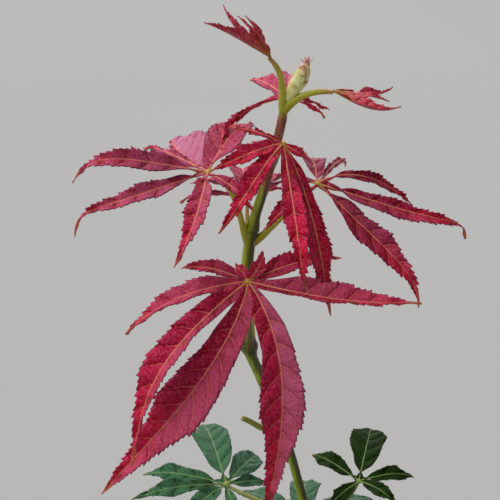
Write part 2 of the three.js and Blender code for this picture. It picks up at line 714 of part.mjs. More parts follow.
// The potting mix: fills the pot to its level, clear of the wall and the floor
function pottingMix() {
  const rimFoot = POT_HEIGHT - POT_RIM_HEIGHT;
  const inset = POT_WALL + GAP;
  const neck = POT_NECK_RADIUS - inset;
  const rimInner = POT_RIM_RADIUS - inset - 1.5;
  const share = (MIX_LEVEL - rimFoot + 1) / (POT_HEIGHT - 2 - rimFoot + 1);
  const profile = [
    [0, POT_FLOOR + GAP], [POT_FOOT_RADIUS - inset - 1, POT_FLOOR + GAP], [neck - GAP, rimFoot - 1],
    [neck + (rimInner - neck) * share - GAP, MIX_LEVEL], [0, MIX_LEVEL],
  ];
  return new LatheGeometry(profile.map(([r, h]) => new Vector2(r, h)), POT_SIDES).rotateX(Math.PI / 2);
}

function material(color, roughness) {
  return new MeshStandardMaterial({ color, roughness, metalness: 0 });
}

const maple = new Group();

function addPiece(name, geometry, color, roughness) {
  const mesh = new Mesh(geometry, material(color, roughness));
  mesh.name = name;
  maple.add(mesh);
}

addPiece('pot', pot(), 0xb5653f, 0.85);
addPiece('potting_mix', pottingMix(), 0x3a2a1e, 1);
addPiece('stem', stem(), 0x5d7a2e, 0.55);
addPiece('end_bud', bud(), 0xb8c58a, 0.5);
addPiece('stalk_stump', stump(), 0x7e9a3a, 0.5);
for (const [name, leaf] of Object.entries({ ...LEAVES, ...FAN_LEAVES })) {
  const green = name.includes('green');
  addPiece(name, geometryOf(leaderLeaf(leaf)), green ? 0x2f5f48 : 0x8e1230, 0.5);
}
for (const [side, plan] of Object.entries(BOUGHS)) {
  addPiece(`bough_${side}`, bough(plan), 0x6b5a38, 0.7);
  addPiece(`mass_${side}`, geometryOf(mass(plan)), 0x33613f, 0.5);
}

export default maple;
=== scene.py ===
# A young Japanese maple in a plain terracotta pot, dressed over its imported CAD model.
# The pot's flat underside is centred on the origin, +Z is up, and the leader leans to show its
# leaves towards -Y. Sizes are written in millimetres, and MM turns them into Blender's metres.
import math

import bmesh
import bpy
import numpy as np
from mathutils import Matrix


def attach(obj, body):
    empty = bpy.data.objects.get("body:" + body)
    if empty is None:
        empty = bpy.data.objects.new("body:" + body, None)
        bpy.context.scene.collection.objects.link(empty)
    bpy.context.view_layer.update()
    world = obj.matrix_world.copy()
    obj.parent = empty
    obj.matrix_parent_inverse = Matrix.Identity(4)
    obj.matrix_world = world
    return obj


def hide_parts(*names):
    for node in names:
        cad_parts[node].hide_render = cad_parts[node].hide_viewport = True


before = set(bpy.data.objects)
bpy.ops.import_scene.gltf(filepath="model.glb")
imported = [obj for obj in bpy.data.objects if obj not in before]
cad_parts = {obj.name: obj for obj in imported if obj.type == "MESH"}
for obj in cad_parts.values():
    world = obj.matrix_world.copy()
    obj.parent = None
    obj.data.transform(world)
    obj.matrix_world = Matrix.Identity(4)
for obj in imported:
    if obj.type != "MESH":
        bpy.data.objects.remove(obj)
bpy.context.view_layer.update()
MM = 0.001


# Pot: thrown terracotta with a straight rim band, a rounded lip and four drain holes in its floor.
# It is fired clay, matt and porous, with fine turning lines and a pale bloom of lime.

POT_HEIGHT = 125
POT_FOOT = 52
POT_NECK = 68
POT_RIM = 75
POT_RIM_FOOT = 99
POT_RIM_TAPER = 1.5
POT_LEDGE = 1
POT_ROUNDING = 1.8
POT_WALL = 6
POT_FLOOR = 9
POT_SIDES = 144
DRAIN_HOLES = 4
DRAIN_RADIUS = 4.5
DRAIN_RING = 27
DRAIN_SIDES = 32
MERGED = 0.002


class Shell:
    """Grids of points gathered into one mesh, with the values that its finish reads."""

    def __init__(self):
        self.points, self.faces, self.values, self.count = [], [], [], 0

    def add(self, grid, closed=False, flip=False, **values):
        """Adds a grid of shape (rows, columns, 3). A closed one also joins its last column to its
        first. Each value is a number, or an array with one for each point, or two for the vein
        map."""
        rows, columns = grid.shape[:2]
        row = np.arange(rows - 1)[:, None] * columns
        column = np.arange(columns if closed else columns - 1)[None, :]
        beside = (column + 1) % columns
        corners = [row + column, row + beside, row + columns + beside, row + columns + column]
        faces = np.stack(corners, -1).reshape(-1, 4)
        flat = {}
        for name, value in values.items():
            rest = np.shape(value)[2:]
            flat[name] = np.broadcast_to(value, (rows, columns) + rest).reshape((-1,) + rest)
        return self.add_faces(grid.reshape(-1, 3), faces[:, ::-1] if flip else faces, **flat)

    def add_faces(self, points, faces, **values):
        self.points.append(points)
        self.faces.append(faces + self.count)
        self.values.append(values)
        self.count += len(points)
        return self

    def piece(self, name, finish, slot, nodes, thickness=0.0, outward=False):
        """Makes the gathered grids one object: coincident points are merged, which also closes
        the poles, and the object rides on the plant and stands for its CAD nodes."""
        points = np.concatenate(self.points) * MM
        faces = np.concatenate(self.faces).astype(np.int32)
        mesh = bpy.data.meshes.new(name)
        mesh.vertices.add(len(points))
        mesh.vertices.foreach_set("co", points.astype(np.float32).ravel())
        mesh.loops.add(faces.size)
        mesh.loops.foreach_set("vertex_index", faces.ravel())
        mesh.polygons.add(len(faces))
        mesh.polygons.foreach_set("loop_start", np.arange(len(faces), dtype=np.int32) * 4)
        mesh.polygons.foreach_set("use_smooth", np.ones(len(faces), bool))
        mesh.update(calc_edges=True)
        for key in sorted({key for values in self.values for key in values}):
            width = (2,) if key == "vein_map" else ()
            parts = [np.asarray(values.get(key, np.zeros((len(part),) + width)), float)
                     for values, part in zip(self.values, self.points)]
            value = np.concatenate(parts).astype(np.float32)
            if key == "vein_map":
                mesh.uv_layers.new(name=key).data.foreach_set("uv", value[faces.ravel()].ravel())
            else:
                mesh.attributes.new(key, "FLOAT", "POINT").data.foreach_set("value", value)
        work = bmesh.new()
        work.from_mesh(mesh)
        bmesh.ops.remove_doubles(work, verts=work.verts, dist=MERGED * MM)
        if outward:
            bmesh.ops.recalc_face_normals(work, faces=work.faces)
        work.to_mesh(mesh)
        work.free()
        mesh.materials.append(finish)
        made = bpy.data.objects.new(name, mesh)
        bpy.context.scene.collection.objects.link(made)
        if thickness:
            skin = made.modifiers.new("thickness", "SOLIDIFY")
            skin.thickness = thickness * MM
            skin.offset = 0
        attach(made, "root")
        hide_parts(*nodes)
        return made


class Tree:
    """A shader tree under way, whose patterns all lie on one set of coordinates."""

    def __init__(self, tree, place):
        self.tree, self.place = tree, place

    def node(self, kind, inputs=(), **settings):
        """A new node. A socket among its inputs is linked, and any other value is set."""
        made = self.tree.nodes.new("ShaderNode" + kind)
        for name, value in settings.items():
            setattr(made, name, value)
        for name, value in dict(inputs).items():
            if isinstance(value, bpy.types.NodeSocket):
                self.tree.links.new(value, made.inputs[name])
            else:
                made.inputs[name].default_value = value
        return made

    def calc(self, operation, *values):
        """The result of a Math node on sockets or numbers."""
        return self.node("Math", enumerate(values), operation=operation).outputs[0]

    def plus(self, one, two):
        return self.calc("ADD", one, two)

    def times(self, one, two):
        return self.calc("MULTIPLY", one, two)

    def ease(self, value, low, high, start=0.0, end=1.0):
        """start where the value is low, end where it is high, and a smooth change between."""
        inputs = {"Value": value, "From Min": low, "From Max": high, "To Min": start, "To Max": end}
        return self.node("MapRange", inputs, interpolation_type="SMOOTHSTEP").outputs[0]

    def parts(self):
        """The coordinates one by one."""
        return self.node("SeparateXYZ", {0: self.place}).outputs

    def drawn(self, scale):
        """The coordinates, drawn out along an axis where the scale is small."""
        if scale is None:
            return self.place
        return self.node("Mapping", {"Vector": self.place, "Scale": scale}).outputs[0]

    def noise(self, scale, detail=3, drawn=None):
        inputs = {"Vector": self.drawn(drawn), "Scale": scale, "Detail": detail, "Roughness": 0.55}
        return self.node("TexNoise", inputs).outputs["Fac"]

    def cells(self, scale, drawn=None, **settings):
        """A distance within each of many small cells."""
        inputs = {"Vector": self.drawn(drawn), "Scale": scale}
        return self.node("TexVoronoi", inputs, **settings).outputs["Distance"]


class Finish(Tree):
    """A material under way on Object coordinates, in metres: coats of colour laid over one another,
    each by a share of its own. A colour is red, green, blue out of 255, or a socket."""

    def __init__(self, name, **settings):
        self.material = bpy.data.materials.new(name)
        self.material.use_nodes = True
        tree = self.material.node_tree
        super().__init__(tree, tree.nodes.new("ShaderNodeTexCoord").outputs["Object"])
        self.shader = tree.nodes["Principled BSDF"].inputs
        for socket, value in settings.items():
            self.shader[socket.replace("_", " ")].default_value = value

    def read(self, name):
        """The value that the mesh carries under this name."""
        return self.node("Attribute", attribute_name=name).outputs["Fac"]

    def mix(self, share, one, two):
        """One colour turned into another by a share."""
        inputs = {0: share, 6: linear(one), 7: linear(two)}
        return self.node("Mix", inputs, data_type="RGBA").outputs[2]

    def base(self, share, one, two):
        """The first coat: one colour turned into another by a share."""
        self.skin = self.mix(share, one, two)

    def coat(self, share, tint):
        """A coat over the ones before, thick where its share is high."""
        self.skin = self.mix(share, self.skin, tint)

    def rough(self, grain, start, end, low=0.3, high=0.7):
        """A roughness that changes from start to end where the grain goes from low to high."""
        self.tree.links.new(self.ease(grain, low, high, start, end), self.shader["Roughness"])

    def done(self, relief=None, depth=0.0):
        """The finished material, with a bump of the relief whose full depth is in mm."""
        self.tree.links.new(self.skin, self.shader["Base Color"])
        if relief:
            bump = self.node("Bump", {"Height": relief, "Distance": depth * MM})
            self.tree.links.new(bump.outputs[0], self.shader["Normal"])
        return self.material


def linear(tint):
    """A colour seen as red, green, blue out of 255, as the linear values that a shader reads. A
    socket stays as it is."""
    if not isinstance(tint, tuple):
        return tint
    shown = np.array(tint) / 255
    values = np.where(shown <= 0.04045, shown / 12.92, ((shown + 0.055) / 1.055) ** 2.4)
    return (*values.tolist(), 1.0)


def terracotta():
    clay = Finish("terracotta")
    height = clay.parts()[2]
    fine = clay.noise(420, 4)
    rings = clay.noise(1, 2, (4, 4, 900))
    clay.base(clay.ease(clay.noise(14, 4), 0.3, 0.7), (170, 93, 62), (196, 116, 80))
    clay.coat(clay.ease(fine, 0.45, 0.75, 0, 0.4), (142, 76, 52))
    bloom = clay.ease(clay.noise(34, 5), 0.5, 0.72)
    clay.coat(clay.times(bloom, clay.ease(height, 0.02, 0.11, 0.15, 0.6)), (214, 182, 158))
    damp = clay.ease(clay.noise(22), 0.35, 0.65)
    clay.coat(clay.times(damp, clay.ease(height, 0.045, 0.0, 0, 0.45)), (112, 66, 46))
    clay.rough(fine, 0.72, 0.95)
    return clay.done(clay.plus(clay.times(rings, 0.7), clay.times(fine, 0.5)), 0.25)


def rounded(corners, reach, steps=5):
    """A profile whose inner corners are turned into arcs: each is the quadratic curve from reach
    before the corner to reach after it."""
    corners = np.array(corners, float)
    before = corners[1:-1] - corners[:-2]
    after = corners[2:] - corners[1:-1]
    shares = [np.minimum(reach / np.linalg.norm(way, axis=1), 0.45)[:, None] for way in (before, after)]
    start = corners[1:-1] - before * shares[0]
    end = corners[1:-1] + after * shares[1]
    t = np.linspace(0, 1, steps)[None, :, None]
    arcs = (1 - t) ** 2 * start[:, None] + 2 * t * (1 - t) * corners[1:-1, None] + t ** 2 * end[:, None]
    return np.concatenate([corners[:1], arcs.reshape(-1, 2), corners[-1:]])


def turned(profile, sides):
    """The profile's points [r, z] carried round the upright axis: (r cos a, r sin a, z)."""
    angle = np.linspace(0, 2 * np.pi, sides, endpoint=False)[None, :]
    radius, height = profile[:, :1], profile[:, 1:]
    return np.stack([radius * np.cos(angle), radius * np.sin(angle), height + 0 * angle], -1)


pot_profile = rounded([
    [0, 0], [POT_FOOT, 0], [POT_NECK, POT_RIM_FOOT - POT_LEDGE], [POT_RIM - POT_RIM_TAPER, POT_RIM_FOOT],
    [POT_RIM, POT_HEIGHT], [POT_RIM - POT_WALL - POT_LEDGE, POT_HEIGHT],
    [POT_NECK - POT_WALL, POT_RIM_FOOT - POT_LEDGE], [POT_FOOT - POT_WALL, POT_FLOOR], [0, POT_FLOOR],
], POT_ROUNDING)
pot_shell = Shell().add(turned(pot_profile, POT_SIDES), closed=True)
pot = pot_shell.piece("terracotta_pot", terracotta(), "pot", ["pot"])
for hole in range(DRAIN_HOLES):
    hole_turn = (hole + 0.5) / DRAIN_HOLES * 2 * math.pi
    middle = (DRAIN_RING * MM * math.cos(hole_turn), DRAIN_RING * MM * math.sin(hole_turn), 0)
    bpy.ops.mesh.primitive_cylinder_add(vertices=DRAIN_SIDES, radius=DRAIN_RADIUS * MM,
                                        depth=3 * POT_FLOOR * MM, location=middle)
    drill = bpy.context.object
    bored = pot.modifiers.new("drain", "BOOLEAN")
    bored.object = drill
    bored.solver = "EXACT"
    seen = pot.evaluated_get(bpy.context.evaluated_depsgraph_get())
    pot_mesh = bpy.data.meshes.new_from_object(seen)
    pot.modifiers.clear()
    pot.data = pot_mesh
    bpy.data.objects.remove(drill)


# Potting mix: dark peat and bark that fills the pot to a little below its rim, with bark chips and
# pale grit lying on it. It is damp, loose and matt.

MIX_LEVEL = 112
MIX_RADIUS = 64.2
MIX_EDGE = MIX_LEVEL - 0.4
MIX_NECK, MIX_NECK_LEVEL = 61.4, 98
MIX_FOOT, MIX_FOOT_LEVEL = 44.7, 9.3
MIX_RINGS, MIX_SIDES = 60, 120
MIX_RELIEF = 0.7
MIX_SWELLS = (0.5, 0.4, 0.3, 0.25, 0.2, 0.2)
MIX_SWELL_SIZES = (9, 6, 4, 2.7, 1.9, 1.4)
CHIPS, CHIP_SIZES = 420, ((3, 1.5, 0.7), (9, 4.5, 2.0))
GRAINS, GRAIN_SIZES = 130, ((1.2, 1.0, 0.8), (2.8, 2.4, 2.0))
FIELD, CLEARING = 59, 10
BLOCK_CORNERS = np.array([[x, y, z] for z in (-1, 1) for y in (-1, 1) for x in (-1, 1)], float) / 2
BLOCK_FACES = np.array([[0, 2, 3, 1], [4, 5, 7, 6], [0, 1, 5, 4], [1, 3, 7, 5], [3, 2, 6, 7], [2, 0, 4, 6]])


def peat():
    soil = Finish("peat")
    crumbs = soil.cells(620)
    fine = soil.noise(900, 4)
    soil.base(soil.ease(soil.noise(60, 4), 0.3, 0.7), (38, 27, 20), (66, 48, 35))
    soil.coat(soil.ease(crumbs, 0.3, 0.9, 0, 0.6), (24, 17, 12))
    soil.coat(soil.ease(fine, 0.62, 0.75, 0, 0.6), (112, 88, 62))
    soil.rough(fine, 0.8, 1.0)
    return soil.done(soil.calc("SUBTRACT", fine, crumbs), 1.2)


def bark_chip():
    bark = Finish("bark_chip")
    grain = bark.noise(900, 4, (1, 0.25, 1))
    bark.base(bark.read("tone"), (58, 38, 27), (124, 88, 60))
    bark.coat(bark.ease(grain, 0.35, 0.7, 0, 0.6), (38, 26, 19))
    bark.rough(grain, 0.8, 0.98)
    return bark.done(grain, 0.4)


def grit():
    stone = Finish("grit")
    speck = stone.noise(1500)
    stone.base(stone.read("tone"), (168, 160, 146), (222, 218, 208))
    stone.coat(stone.ease(speck, 0.5, 0.7, 0, 0.5), (128, 118, 104))
    stone.rough(speck, 0.65, 0.9)
    return stone.done(speck, 0.3)


def scattered(count, sizes, seed):
    """Rough blocks laid on the mix: each is stretched between the two sizes, turned and placed by
    chance within the field, and keeps clear of the stem's foot."""
    rng = np.random.default_rng(seed)
    size = rng.uniform(*np.array(sizes)[:, None, None, :], (count, 1, 3))
    corners = BLOCK_CORNERS[None] * size * rng.uniform(0.75, 1.15, (count, len(BLOCK_CORNERS), 1))
    turn, tilt = rng.uniform(0, 2 * np.pi, count)[:, None], rng.normal(0, 0.35, count)[:, None]
    x, y, z = corners[..., 0], corners[..., 1], corners[..., 2]
    tipped = z * np.cos(tilt) + x * np.sin(tilt)
    x = x * np.cos(tilt) - z * np.sin(tilt)
    reach = np.sqrt(rng.uniform((CLEARING / FIELD) ** 2, 1, count))[:, None] * FIELD
    bearing = rng.uniform(0, 2 * np.pi, count)[:, None]
    lift = MIX_LEVEL + 0.35 * size[:, 0, 2] + rng.uniform(0, 0.8, count)
    points = np.stack([x * np.cos(turn) - y * np.sin(turn) + reach * np.cos(bearing),
                       x * np.sin(turn) + y * np.cos(turn) + reach * np.sin(bearing),
                       tipped + lift[:, None]], -1)
    first = (np.arange(count) * len(BLOCK_CORNERS))[:, None, None]
    tone = np.repeat(rng.random(count), len(BLOCK_CORNERS))
    return Shell().add_faces(points.reshape(-1, 3), (BLOCK_FACES + first).reshape(-1, 4), tone=tone)


mix_angle = np.linspace(0, 2 * np.pi, MIX_SIDES, endpoint=False)[None, :]
mix_share = np.linspace(0, 1, MIX_RINGS)[:, None]
mix_x = MIX_RADIUS * mix_share * np.cos(mix_angle)
mix_y = MIX_RADIUS * mix_share * np.sin(mix_angle)
mix_rng = np.random.default_rng(5)
mix_ways, mix_shifts = mix_rng.uniform(0, np.pi, 6), mix_rng.uniform(0, 6, 6)
mix_height = sum(
    amount * np.sin((mix_x * math.cos(way) + mix_y * math.sin(way)) / size + shift)
    for amount, size, way, shift in zip(MIX_SWELLS, MIX_SWELL_SIZES, mix_ways, mix_shifts))
mix_height = MIX_EDGE + MIX_RELIEF * mix_height * (1 - mix_share ** 6)
mix_side = np.array([[MIX_RADIUS, MIX_EDGE], [MIX_NECK, MIX_NECK_LEVEL],
                     [MIX_FOOT, MIX_FOOT_LEVEL], [0, MIX_FOOT_LEVEL]])
mix_shell = Shell().add(np.stack([mix_x, mix_y, mix_height], -1), closed=True)
mix_shell.add(turned(mix_side, MIX_SIDES), closed=True)
mix_shell.piece("potting_mix_bed", peat(), "potting_mix", ["potting_mix"], outward=True)
scattered(CHIPS, CHIP_SIZES, 21).piece("bark_chips", bark_chip(), "potting_mix", ["potting_mix"])
scattered(GRAINS, GRAIN_SIZES, 34).piece("grit_grains", grit(), "potting_mix", ["potting_mix"])


# Main stem: one upright shoot, brown bark at its foot, olive green above it and red-brown near its
# tip. It swells at each pair of leaves, and a ring of old bud scale scars marks last year's end.

STEM = np.array([
    [0, 0, 112.3, 4.2], [1.5, 1, 150, 3.4], [-2, 2, 190, 2.8], [-9.5, 1, 228, 2.1], [-19.2, -1, 257, 1.45],
    [-26.5, -3.5, 286, 1.25], [-33.5, -5, 305.5, 1.5], [-36.5, -6, 314.6, 1.6], [-36.9, -6, 332.6, 1.55],
    [-35.5, -6, 346.8, 1.4], [-33.1, -6, 355.4, 1.25], [-30.7, -6, 364.3, 1.2], [-28.6, -6, 372.9, 1.15],
    [-27.9, -6, 377.8, 1.1],
])
STEM_FOOT, STEM_TOP = STEM[0, 2], STEM[-1, 2]
NODE_LOWEST, NODE_OLD, NODE_RING, NODE_MIDDLE, NODE_HIGH, NODE_TOP = 228, 257, 314.6, 346.8, 364.3, 377
SWELLINGS = [(NODE_LOWEST, 0.5), (NODE_OLD, 0.6), (NODE_RING, 0.9), (NODE_MIDDLE, 0.45),
             (NODE_HIGH, 0.35), (NODE_TOP, 0.3)]
SWELLING_HEIGHT = 1.8
FLARE_RADIUS, FLARE_HEIGHT, FLARE_ROOTS, FLARE_LOBE = 3.2, 7, 5, 0.25
FISSURE_DEPTH, FISSURE_TOP, FISSURE_FADE = 0.05, 300, 120
SCAR_RING, SCAR_HEIGHT = (-1.7, -0.7, 0.3, 1.4), 0.38
SCAR_NODES, SCAR_SHARE = (NODE_MIDDLE, NODE_HIGH, NODE_OLD, NODE_LOWEST), 0.7
SCAR_RELIEF = 0.16
STEM_SUNK = 1.5
STEM_STEP = 0.55
STEM_SIDES = 44
STEM_POINT = 3.5
TIP_BROWN, TOP_GREEN, OLD_BARK, ROUGH_BARK = (0.357, 0.364), (0.3738, 0.3772), (0.262, 0.222), (0.2, 0.3)


def bell(away, width):
    """exp(-(away / width)^2): 1 at no distance, and next to nothing at twice the width."""
    return np.exp(-(away / width) ** 2)


def stem_at(level):
    """The stem's centre and radius at a height or heights: a cubic through the stations with the
    slopes (next - before) / (its height), and a bell of each swelling on the radius."""
    level = np.asarray(level, float)
    z = STEM[:, 2]
    below = np.maximum(np.arange(len(STEM)) - 1, 0)
    above = np.minimum(np.arange(len(STEM)) + 1, len(STEM) - 1)
    slope = (STEM[above] - STEM[below]) / (z[above] - z[below])[:, None]
    i = np.clip(np.searchsorted(z, level) - 1, 0, len(STEM) - 2)
    span = (z[i + 1] - z[i])[..., None]
    t = (level - z[i])[..., None] / span
    eased = t ** 2 * (3 - 2 * t)
    value = ((1 - eased) * STEM[i] + eased * STEM[i + 1]
             + (t ** 3 - 2 * t ** 2 + t) * span * slope[i] + (t ** 3 - t ** 2) * span * slope[i + 1])
    swelling = sum(amount * bell(level - node, SWELLING_HEIGHT) for node, amount in SWELLINGS)
    return np.stack([value[..., 0], value[..., 1], level], -1), value[..., 3] + swelling


def stem_bark():
    """Olive skin with painted dark brown shade on its side away from the light, red-brown near the tip,
    green again at the top, and brown bark at the foot. The heights where it changes are in metres."""
    bark = Finish("stem_bark")
    height = bark.parts()[2]
    streak = bark.noise(900, 4, (1, 1, 0.12))
    patch = bark.noise(160, 4, (1, 1, 0.3))
    bark.base(bark.ease(streak, 0.35, 0.7), (112, 140, 12), (168, 184, 44))
    # Painted shade: dark brown laid on the stem's right side, away from the light from the left.
    sunny = bark.ease(bark.read("sunny"), 0.42, 0.8, 0, 0.85)
    bark.coat(bark.times(sunny, bark.ease(patch, 0.15, 0.5, 0.5, 1.0)), (52, 40, 20))
    tip = bark.mix(bark.ease(streak, 0.35, 0.65), (104, 44, 34), (158, 88, 64))
    bark.coat(bark.ease(bark.plus(height, bark.times(patch, 0.006)), *TIP_BROWN), tip)
    bark.coat(bark.ease(height, *TOP_GREEN), (150, 160, 40))
    old = bark.mix(bark.ease(streak, 0.4, 0.65), (104, 88, 62), (138, 124, 92))
    bark.coat(bark.ease(bark.plus(height, bark.times(patch, 0.06)), *OLD_BARK), old)
    bark.coat(bark.times(bark.read("scar"), 0.85), (58, 34, 30))
    lenticel = bark.ease(bark.cells(420, (1, 1, 0.45)), 0.16, 0.08, 0, 0.7)
    bark.coat(lenticel, (176, 160, 118))
    bark.rough(height, 0.75, 0.4, *ROUGH_BARK)
    return bark.done(bark.plus(bark.times(streak, 0.6), lenticel), 0.12)


stem_level = np.append(np.arange(STEM_FOOT - STEM_SUNK, STEM_TOP, STEM_STEP), STEM_TOP)
stem_turn = np.linspace(0, 2 * np.pi, STEM_SIDES, endpoint=False)[None, :]
stem_centre, stem_radius = stem_at(np.maximum(stem_level, STEM_FOOT))
stem_centre[:, 2] = stem_level
stem_rise, stem_radius = stem_level[:, None], stem_radius[:, None]
flare = FLARE_RADIUS * np.exp(-(stem_rise - STEM_FOOT) / FLARE_HEIGHT)
lobed = 1 + FLARE_LOBE * (np.cos(FLARE_ROOTS * stem_turn) - 1)
fissure = np.sin(9 * stem_turn + stem_rise / 7) * np.sin(4 * stem_turn - stem_rise / 11)
fissure = FISSURE_DEPTH * fissure * np.clip((FISSURE_TOP - stem_rise) / FISSURE_FADE, 0.15, 1) * stem_radius
scar_rows = sum(bell(stem_rise - NODE_RING - shift, SCAR_HEIGHT) for shift in SCAR_RING)
scar_rows = scar_rows + SCAR_SHARE * sum(bell(stem_rise - level + 0.6, 0.4) for level in SCAR_NODES)
closing = np.sqrt(np.clip((STEM_TOP + 0.05 - stem_rise) / STEM_POINT, 0.0, 1.0))
stem_reach = (stem_radius + flare * lobed + fissure + SCAR_RELIEF * scar_rows) * closing
stem_grid = stem_centre[:, None] + np.stack(
    [stem_reach * np.cos(stem_turn), stem_reach * np.sin(stem_turn), 0 * stem_reach], -1)
stem_ends = [np.broadcast_to(stem_centre[end], (1, STEM_SIDES, 3)) for end in (0, -1)]
stem_grid = np.concatenate([stem_ends[0], stem_grid, stem_ends[1]])
stem_scars = np.clip(np.concatenate([[[0]], scar_rows, [[0]]]), 0, 1)
# The value read for the painted shade is 1 on the stem's right side, away from the light.
stem_shell = Shell().add(stem_grid, closed=True, scar=stem_scars,
                         sunny=0.5 + 0.5 * np.cos(stem_turn + 0.15))
stem_shell.piece("stem_shoot", stem_bark(), "stem", ["stem"])


# Leaf stalks and the stump of an old one: round green shoots that part from the stem like the arms
# of a fork, thick at their foot and drawn in at their tip.

GAP = 0.3
STALK_RADIUS = 0.75
STALK_FOOT = 1.25
STALK_FOOT_END = 0.25
STALK_TIP = 0.5
STALK_TIP_POWER = 6
STALK_STEPS, STALK_SIDES = 54, 18
PATH_SAMPLES = 400
HANDLE = 0.38
END_CAP = 0.4
FORK_DROP = 4.5
FORK_GIRTH = 0.8
FORK_REACH = 8
STUMP_LEVEL = 288
STUMP_END = np.array([-38.0, -8, 294])
STUMP_RISE = 0.2
STUMP_ROOT = 1.6
STUMP_SWELL, STUMP_STEPS = (1.25, 0.95), 24
UP = np.array([0.0, 0.0, 1.0])


def unit(way):
    way = np.asarray(way, float)
    return way / np.linalg.norm(way, axis=-1, keepdims=True)


def foot_on_stem(level, towards, rise, radius):
    """Where a limb starts beside the stem, clear of it by the gap, and the way it starts."""
    centre, girth = stem_at(level)
    out = unit((towards - centre) * [1, 1, 0])
    start = unit(out + rise * UP)
    bend = abs((stem_at(level + 1)[0] - centre) @ out)
    lean = radius * (math.sqrt(1 - (start @ out) ** 2) + bend)
    return centre + out * (girth + GAP + lean), start


def bending(foot, start, end, arrive, count):
    """Points, evenly spaced, of the cubic that leaves foot along start and meets end along arrive,
    with handles of HANDLE times the distance."""
    length = np.linalg.norm(end - foot)
    t = np.linspace(0, 1, PATH_SAMPLES)[:, None]
    one, two = foot + start * HANDLE * length, end - arrive * HANDLE * length
    line = (1 - t) ** 3 * foot + 3 * t * (1 - t) ** 2 * one + 3 * t ** 2 * (1 - t) * two + t ** 3 * end
    walked = np.append(0, np.cumsum(np.linalg.norm(np.diff(line, axis=0), axis=1)))
    return np.stack([np.interp(np.linspace(0, walked[-1], count), walked, axis) for axis in line.T], -1)


def rooted(path, way, depth):
    """The path with two points before it, so that it starts this deep in what it grows from."""
    return np.concatenate([path[:1] - way * np.array([[depth], [depth / 2]]), path])


def limb(shell, path, radius, sides=14, **values):
    """A round section carried along a path, closed at both ends by a rounded pole. Its frame is
    the path's own least plane, so that it doesn't twist."""
    tangent = unit(np.gradient(path, axis=0))
    flat = np.linalg.svd(path - path.mean(0))[2][2]
    across = unit(np.cross(tangent, flat))
    over = np.cross(across, tangent)
    turn = np.linspace(0, 2 * np.pi, sides, endpoint=False)[None, :, None]
    radius = np.broadcast_to(np.asarray(radius, float), (len(path),))[:, None, None]
    rings = path[:, None] + radius * (np.cos(turn) * across[:, None] + np.sin(turn) * over[:, None])
    first = np.broadcast_to(path[0] - tangent[0] * radius[0, 0] * END_CAP, (1, sides, 3))
    last = np.broadcast_to(path[-1] + tangent[-1] * radius[-1, 0] * END_CAP, (1, sides, 3))
    along = np.concatenate([[0], np.linspace(0, 1, len(path)), [1]])[:, None]
    shell.add(np.concatenate([first, rings, last]), closed=True, flip=True, share=along, **values)


def stalk_radius(t):
    """The stalk's radius along its share t: thick at its foot, drawn in at its tip."""
    foot = (STALK_FOOT - 1) * (1 - np.minimum(t / STALK_FOOT_END, 1))
    return STALK_RADIUS * (1 + foot - (1 - STALK_TIP) * t ** STALK_TIP_POWER)


def smooth(value):
    value = np.clip(value, 0, 1)
    return value * value * (3 - 2 * value)


def add_stalk(shell, level, end, rise, arrive, drop=FORK_DROP):
    """A leaf stalk that parts from the stem like the arm of a fork: it starts on the stem's own
    axis below the node, climbs out of it, and thins from the stem's girth to its own."""
    centre, girth = stem_at(level - drop)
    out = unit((end - centre) * [1, 1, 0])
    path = bending(centre, unit(out + rise * UP), end, arrive, STALK_STEPS)
    share = np.linspace(0, 1, STALK_STEPS)
    swell = 1 - smooth(share * np.linalg.norm(end - centre) / FORK_REACH)
    radius = stalk_radius(share)
    limb(shell, path, radius + (FORK_GIRTH * girth - radius) * swell, STALK_SIDES)


def stalk_skin(name, foot, middle, tip, foot_end=0.4):
    """Smooth skin that changes colour along the stalk, with fine streaks."""
    skin = Finish(name)
    share = skin.read("share")
    streak = skin.noise(900)
    skin.base(skin.ease(share, 0.04, foot_end), foot, middle)
    skin.coat(skin.ease(share, 0.6, 0.98), tip)
    skin.coat(skin.ease(streak, 0.4, 0.75, 0, 0.3), skin.mix(0.45, middle, (60, 40, 20)))
    skin.rough(streak, 0.34, 0.52)
    return skin.done(streak, 0.06)


STALK_SKINS = {
    "green": stalk_skin("green_stalk", (168, 172, 34), (184, 180, 52), (188, 140, 70)),
    # The dark stalk skin is painted shade: darker than the green one over its lower part and dark brown at
    # its foot, where these stalks run in shade under the leaves.
    "dark": stalk_skin("dark_stalk", (78, 56, 34), (124, 120, 44), (168, 140, 66)),
    "olive": stalk_skin("olive_stalk", (112, 118, 38), (128, 136, 54), (134, 142, 78)),
}
stump_foot, stump_start = foot_on_stem(STUMP_LEVEL, STUMP_END, STUMP_RISE, STALK_RADIUS)
stump_path = bending(stump_foot, stump_start, STUMP_END, unit(STUMP_END - stump_foot), STUMP_STEPS)
stump_path = rooted(stump_path, stump_start, STUMP_ROOT)
stump_shell = Shell()
limb(stump_shell, stump_path, STALK_RADIUS * np.linspace(*STUMP_SWELL, len(stump_path)))
stump_skin = stalk_skin("stump_skin", (120, 126, 30), (150, 152, 50), (158, 150, 70))
stump_shell.piece("old_stalk_stump", stump_skin, "stem", ["stalk_stump"])


# End bud: a fat pointed bud in pale green scales with tan and pink edges, laid over one another in
# crossed pairs. Pink hairs stand out of its tip.

